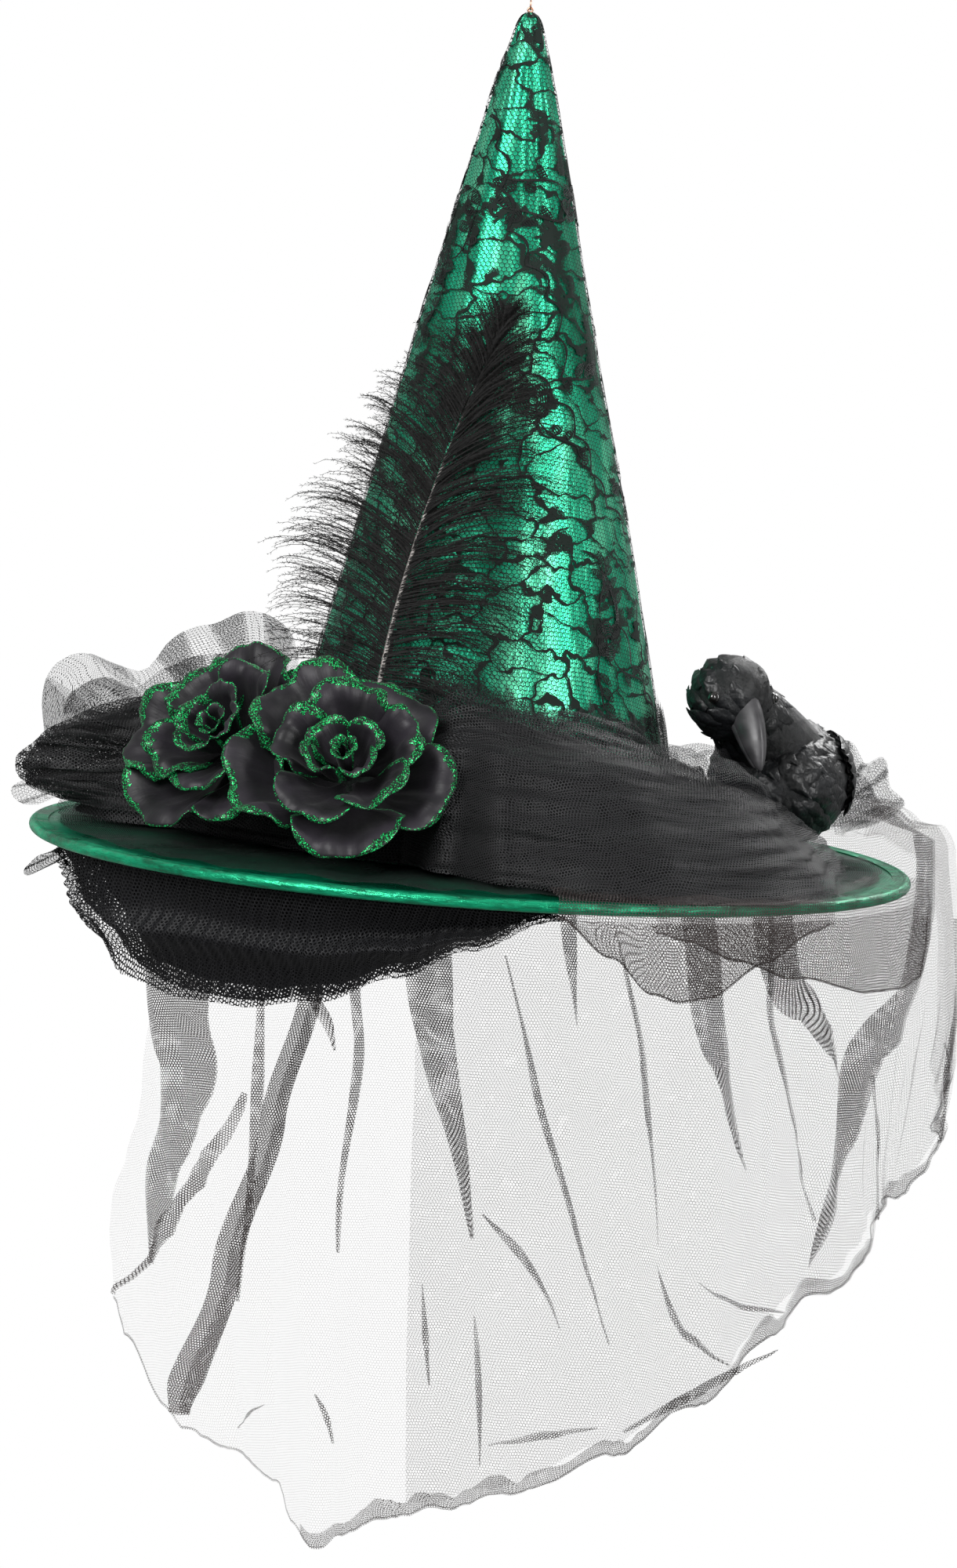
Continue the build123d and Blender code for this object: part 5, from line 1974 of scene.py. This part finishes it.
def tubeAlong(name, points, radii, sides=3):
    # a tapered tube with closed ends along a smooth line of points in millimetres
    deselectAll()
    bpy.ops.curve.primitive_nurbs_path_add(location=(0, 0, 0))
    obj = bpy.context.object
    obj.name = name
    obj.data.splines.clear()
    line = obj.data.splines.new("NURBS")
    line.points.add(len(points) - 1)
    for point, spot, radius in zip(line.points, points, radii):
        point.co = (*(Vector(spot) * mm), 1)
        point.radius = radius
    line.order_u = 3
    line.use_endpoint_u = True
    obj.data.bevel_depth = 1 * mm
    obj.data.bevel_resolution = sides
    obj.data.use_fill_caps = True
    makeActive(obj)
    bpy.ops.object.convert(target="MESH")
    tube = bpy.context.object
    tube.data.name = name
    settle(tube)
    shadeSmooth(tube)
    return tube


# raven

raven = {
    "body": {"centre": (139, 10, 41), "radius": 31, "length": 54},
    "head": {"centre": (111, -38, 81), "radius": 19.5},
    "neckFoot": (139, -4, 49),
    "face": (0.46, -0.74, -0.49),
    "beakLength": 31,
    "beakRadius": 8.2,
    "eyeRadius": 2.0,
    "eyeSpread": 62,
    "tailLength": 62,
}


def featherSatin(name="ravenFeathers"):
    material, shader, w = newMaterial(name)
    place, cloth = w.place(), w.cloth()
    patch = w.noise(place, 60.0, 2.0)[0]
    barbs = w.noise(w.vector("MULTIPLY", cloth, (900, 90, 1)), 1.0, 2.0)[0]
    tone = w.mix(w.ramp(patch, 0.35, 0.75), (0.0012, 0.0012, 0.0014, 1), (0.007, 0.0075, 0.009, 1))
    w.put(shader.inputs["Base Color"], w.mix(w.sums("MULTIPLY", barbs, 0.3), tone, (0.005, 0.008, 0.008, 1)))
    crumple = w.noise(place, 210.0, 2.0)[0]
    w.put(
        shader.inputs["Normal"],
        w.bump(w.sums("ADD", w.sums("MULTIPLY", barbs, 0.25), w.sums("MULTIPLY", crumple, 1.2)), 0.6, 0.0018)
    )
    w.put(shader.inputs["Roughness"], w.ramp(barbs, 0.2, 0.8, (0.34, 0.5)))
    shader.inputs["Specular IOR Level"].default_value = 0.42
    return material


def featherMaster():
    # one contour feather: root at the origin, lying along +Y and facing +Z, one unit long
    deselectAll()
    bpy.ops.mesh.primitive_grid_add(x_subdivisions=4, y_subdivisions=6, size=1, location=(0, 0, 0))
    obj = bpy.context.object
    for vertex in obj.data.vertices:
        along = vertex.co.y + 0.5
        half = (
            0.55 * math.sin(math.pi * min(along * 0.78 + 0.12, 1)) ** 0.8 * (1 - 0.5 * smooth(0.7, 1, along))
        )
        s = vertex.co.x * 2
        vertex.co = Vector((s * half * 0.5, along * (1 - 0.10 * abs(s)), 0.13 * (1 - s * s) * (1 - 0.4 * along) + 0.05 * along))
    return obj


def scatterFeathers(name, placings, hug=None):
    # copies of the one feather, each laid at a root, pointing one way and facing out; hug keeps them close
    # to a form
    master = featherMaster()
    source = np.array([vertex.co[:] for vertex in master.data.vertices])
    faces = [tuple(face.vertices) for face in master.data.polygons]
    bpy.data.objects.remove(master, do_unlink=True)
    corners, allFaces, marks = [], [], []
    for root, heading, out, length, width in placings:
        along = Vector(heading).normalized()
        side = along.cross(Vector(out)).normalized()
        lift = side.cross(along).normalized()
        base = len(corners)
        for x, y, z in source:
            spot = Vector(root) + side * (x * width) + along * (y * length) + lift * (z * width * 0.55)
            spot = hug(spot, 0.2 + y * 1.4 + z * 7.5) if hug else spot
            corners.append(spot * mm)
            marks.append((x * width * mm, y * length * mm))
        allFaces += [tuple(index + base for index in face) for face in faces]
    mesh = bpy.data.meshes.new(name)
    mesh.from_pydata(corners, [], allFaces)
    layer = mesh.uv_layers.new(name="feather")
    for loop in mesh.loops:
        layer.data[loop.index].uv = marks[loop.vertex_index]
    mesh.polygons.foreach_set("use_smooth", [True] * len(mesh.polygons))
    obj = bpy.data.objects.new(name, mesh)
    bpy.context.collection.objects.link(obj)
    return obj


def roundForm(name, centre, size, aim=(0, 0, 1)):
    # a smooth egg shape whose long axis points along aim
    deselectAll()
    bpy.ops.mesh.primitive_uv_sphere_add(segments=40, ring_count=24, radius=1, location=Vector(centre) * mm)
    obj = bpy.context.object
    obj.name = name
    obj.scale = Vector(size) * mm
    obj.rotation_euler = Vector(aim).to_track_quat("Z", "Y").to_euler()
    settle(obj)
    shadeSmooth(obj)
    return obj


def buildRaven():
    feathers = featherSatin()
    body = raven["body"]
    centre = Vector(body["centre"])
    head = Vector(raven["head"]["centre"])
    radius = raven["head"]["radius"]
    face = Vector(raven["face"]).normalized()
    side = face.cross(Vector((0, 0, 1))).normalized()
    crest = side.cross(face).normalized()

    def inBodySizes(spot):
        # a place measured from the body's centre in its own half sizes
        return Vector((
            (spot.x - centre.x) / body["radius"],
            (spot.y - centre.y) / body["length"],
            (spot.z - centre.z) / body["radius"],
        ))

    def hugBody(spot, lift):
        # onto the egg of the body, but only for feathers that start on it
        local = inBodySizes(spot)
        if local.length > 1.25:
            return spot
        return (
            centre
            + (spot - centre) / max(local.length, 0.05) * (1 - 3.0 / body["radius"] + lift / body["radius"])
        )

    def hugWing(spot, lift):
        # close over the back and side of the body
        local = inBodySizes(spot)
        size = local.length
        return (
            spot
            if size > 1.6 or size < 0.05 else centre + (spot - centre) / size * (1.03 + lift / body["radius"])
        )

    torso = roundForm(
        "ravenTorso", centre, (body["radius"] - 3, body["radius"] - 3, body["length"] - 3), (0, 1, 0.03)
    )
    neck = tubeAlong(
        "ravenNeck", [Vector(raven["neckFoot"]), Vector((128, -20, 66)), head + Vector((1, 2, -2))],
        [22, 18, 16], 8
    )
    rng = random.Random(8)
    plumage = []
    for ring in range(11):
        share = (ring + 0.5) / 11
        lean = math.pi * (0.04 + 0.92 * share)
        count = int(6 + 20 * math.sin(lean))
        for number in range(count):
            turn = 2 * math.pi * (number + 0.5 * (ring % 2)) / count + rng.uniform(-0.06, 0.06)
            unit = Vector((math.sin(lean) * math.cos(turn), -math.cos(lean), math.sin(lean) * math.sin(turn)))
            spot = (
                centre
                + Vector((unit.x * (body["radius"] - 3), unit.y * (body["length"] - 3), unit.z * (body["radius"] - 3)))
            )
            out = Vector((unit.x, unit.y * 0.45, unit.z)).normalized()
            back = Vector((0, 1, 0)) - out * out.y * 0.93
            plumage.append((spot - back * 4, back + out * 0.10, out, rng.uniform(17, 23), rng.uniform(15, 18)))
    for ring in range(4):
        foot = Vector(raven["neckFoot"]).lerp(head, 0.15 + 0.22 * ring)
        axis = (head - Vector(raven["neckFoot"])).normalized()
        for number in range(13):
            turn = 2 * math.pi * (number + 0.5 * (ring % 2)) / 13
            across = axis.cross(Vector((1, 0, 0))).normalized()
            out = (across * math.cos(turn) + axis.cross(across) * math.sin(turn)).normalized()
            root = foot + out * (19.5 - ring * 1.2)
            plumage.append((root, -axis + out * 0.22, out, rng.uniform(16, 20), rng.uniform(13, 16)))
    coat = scatterFeathers("ravenPlumage", plumage, hugBody)
    form = joinPieces([torso, neck, coat], "ravenBody")
    dress(form, feathers, slotName="raven_feathers", stands=["raven_body"])

    skull = roundForm("ravenSkull", head, (radius - 1.5, radius - 0.6, radius + 0.5), crest + face * 0.25)
    cap = []
    for row, (reach, count) in enumerate(((0.24, 6), (0.66, 8), (1.12, 11), (1.6, 11))):
        for number in range(count):
            turn = 2 * math.pi * (number + 0.5 * (row % 2)) / count + rng.uniform(-0.1, 0.1)
            spread = side * math.cos(turn) + crest * math.sin(turn)
            unit = (face * math.cos(reach) + spread * math.sin(reach)).normalized()
            away = (spread * math.cos(reach) - face * math.sin(reach)).normalized()
            cap.append((head + unit * (radius - 0.9), away, unit, rng.uniform(20, 27), rng.uniform(13, 19)))
    hood = scatterFeathers(
        "ravenHood", cap, lambda spot, lift: head + (spot - head).normalized() * (radius - 1.6 + lift)
    )
    skullPiece = joinPieces([skull, hood], "ravenHead")
    dress(skullPiece, feathers, slotName="raven_feathers", stands=["raven_head"])

    flight = {-1: [], 1: []}
    for way in (-1, 1):
        shoulder = centre + Vector((way * 25, -20, 12))
        for row, (count, start, length, width) in enumerate(((6, 0, 26, 15), (8, 10, 36, 14), (9, 22, 50, 12))):
            for number in range(count):
                share = number / (count - 1)
                root = (
                    shoulder
                    + Vector((way * (4 + 1.5 * (2 - row)) * (1 - share * 0.4), start * 0.8 + share * 12, 9 - share * 26))
                )
                aim = Vector((-way * 0.12, 1, -0.10 - 0.28 * share + 0.1 * row))
                flight[way].append((root, aim, Vector((way, 0.0, 0.45 - 0.5 * share)), length * rng.uniform(0.9, 1.05), width))
    for way, node in ((-1, "raven_wing_left"), (1, "raven_wing_right")):
        wing = scatterFeathers("ravenWing" + ("Left" if way < 0 else "Right"), flight[way], hugWing)
        dress(wing, feathers, slotName="raven_feathers", stands=[node])
    fan = []
    for number in range(9):
        spread = (number - 4) / 4
        root = centre + Vector((spread * 8, 42, 5 - 2 * abs(spread)))
        fan.append((root, Vector((spread * 0.26, 1, -0.14)), Vector((spread * 0.2, 0.1, 1)), raven["tailLength"], 15))
    tailPiece = scatterFeathers("ravenTail", fan)
    dress(tailPiece, feathers, slotName="raven_feathers", stands=["raven_tail"])

    horn, shader, w = newMaterial("beakHorn")
    place = w.place()
    tone = w.noise(w.vector("MULTIPLY", place, (60, 60, 160)), 1.0, 3.0)[0]
    w.put(shader.inputs["Base Color"], w.mix(tone, (0.010, 0.010, 0.011, 1), (0.06, 0.058, 0.062, 1)))
    w.put(shader.inputs["Roughness"], w.ramp(tone, 0.3, 0.7, (0.3, 0.5)))
    w.put(shader.inputs["Normal"], w.bump(tone, 0.3, 0.0006))
    aim = (face + Vector((-0.1, -0.1, -0.35))).normalized()
    root = head + face * (radius * 0.80)
    for label, lift, length, thick in (
        ("Upper", 1.4, raven["beakLength"] + 2.5, 1.0), ("Lower", -2.2, raven["beakLength"] - 3, 0.62)
    ):
        beak = beakHalf(f"ravenBeak{label}", root + crest * lift, aim, side, length, thick)
        dress(beak, horn, slotName="beak", stands=[f"raven_beak_{label.lower()}"])

    glass, shader, w = newMaterial("beadEye")
    w.put(
        shader.inputs["Base Color"],
        w.mix(w.noise(w.place(), 400.0)[0], (0.002, 0.002, 0.002, 1), (0.012, 0.010, 0.008, 1))
    )
    shader.inputs["Roughness"].default_value = 0.04
    shader.inputs["Coat Weight"].default_value = 1.0
    eyes = []
    for way in (-1, 1):
        spread = math.radians(raven["eyeSpread"])
        look = (face * math.cos(spread) + side * way * math.sin(spread) + crest * 0.35).normalized()
        bead = roundForm("ravenEye", head + look * (radius + 0.3), (raven["eyeRadius"],) * 3)
        rim = roundForm(
            "ravenLid", head + look * (radius - 0.4),
            (raven["eyeRadius"] * 1.35, raven["eyeRadius"] * 1.35, 1.2), look
        )
        eyes += [bead, rim]
    pair = joinPieces(eyes, "ravenEyes")
    dress(pair, glass, slotName="eye_bead", stands=["raven_eyes"])
    print("raven made")


def beakHalf(name, root, aim, side, length, thick):
    # a tapered, hooked wedge with a ridge along it
    deselectAll()
    bpy.ops.mesh.primitive_uv_sphere_add(segments=24, ring_count=24, radius=1, location=(0, 0, 0))
    obj = bpy.context.object
    obj.name = name
    up = side.cross(aim).normalized()
    for vertex in obj.data.vertices:
        along = (vertex.co.z + 1) / 2
        size = raven["beakRadius"] * (
            math.sin(math.pi * min(along * 0.5 + 0.5, 1)) ** 0.62 if along > 0 else 1
        )
        ring = math.hypot(vertex.co.x, vertex.co.y)
        x = vertex.co.x / ring if ring > 0.0001 else 0
        y = vertex.co.y / ring if ring > 0.0001 else 0
        if along < 0.02:
            size *= ring
        ridge = 1 + 0.22 * max(y, 0) ** 6
        hook = -3.2 * along ** 3
        spot = (
            root + aim * (along * length - 4) + side * (x * size * 0.86)
            + up * (y * size * thick * ridge + hook)
        )
        vertex.co = spot * mm
    flipIfInward(obj, lambda place: place - (root + aim * length * 0.4) * mm)
    shadeSmooth(obj)
    return obj


buildRoses()
buildPlume()
buildRaven()

json.dump(
    {"cad": [list(corner) for corner in cadBounds], "visual": [list(corner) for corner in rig.bounds()]},
    open("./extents.json", "w")
)
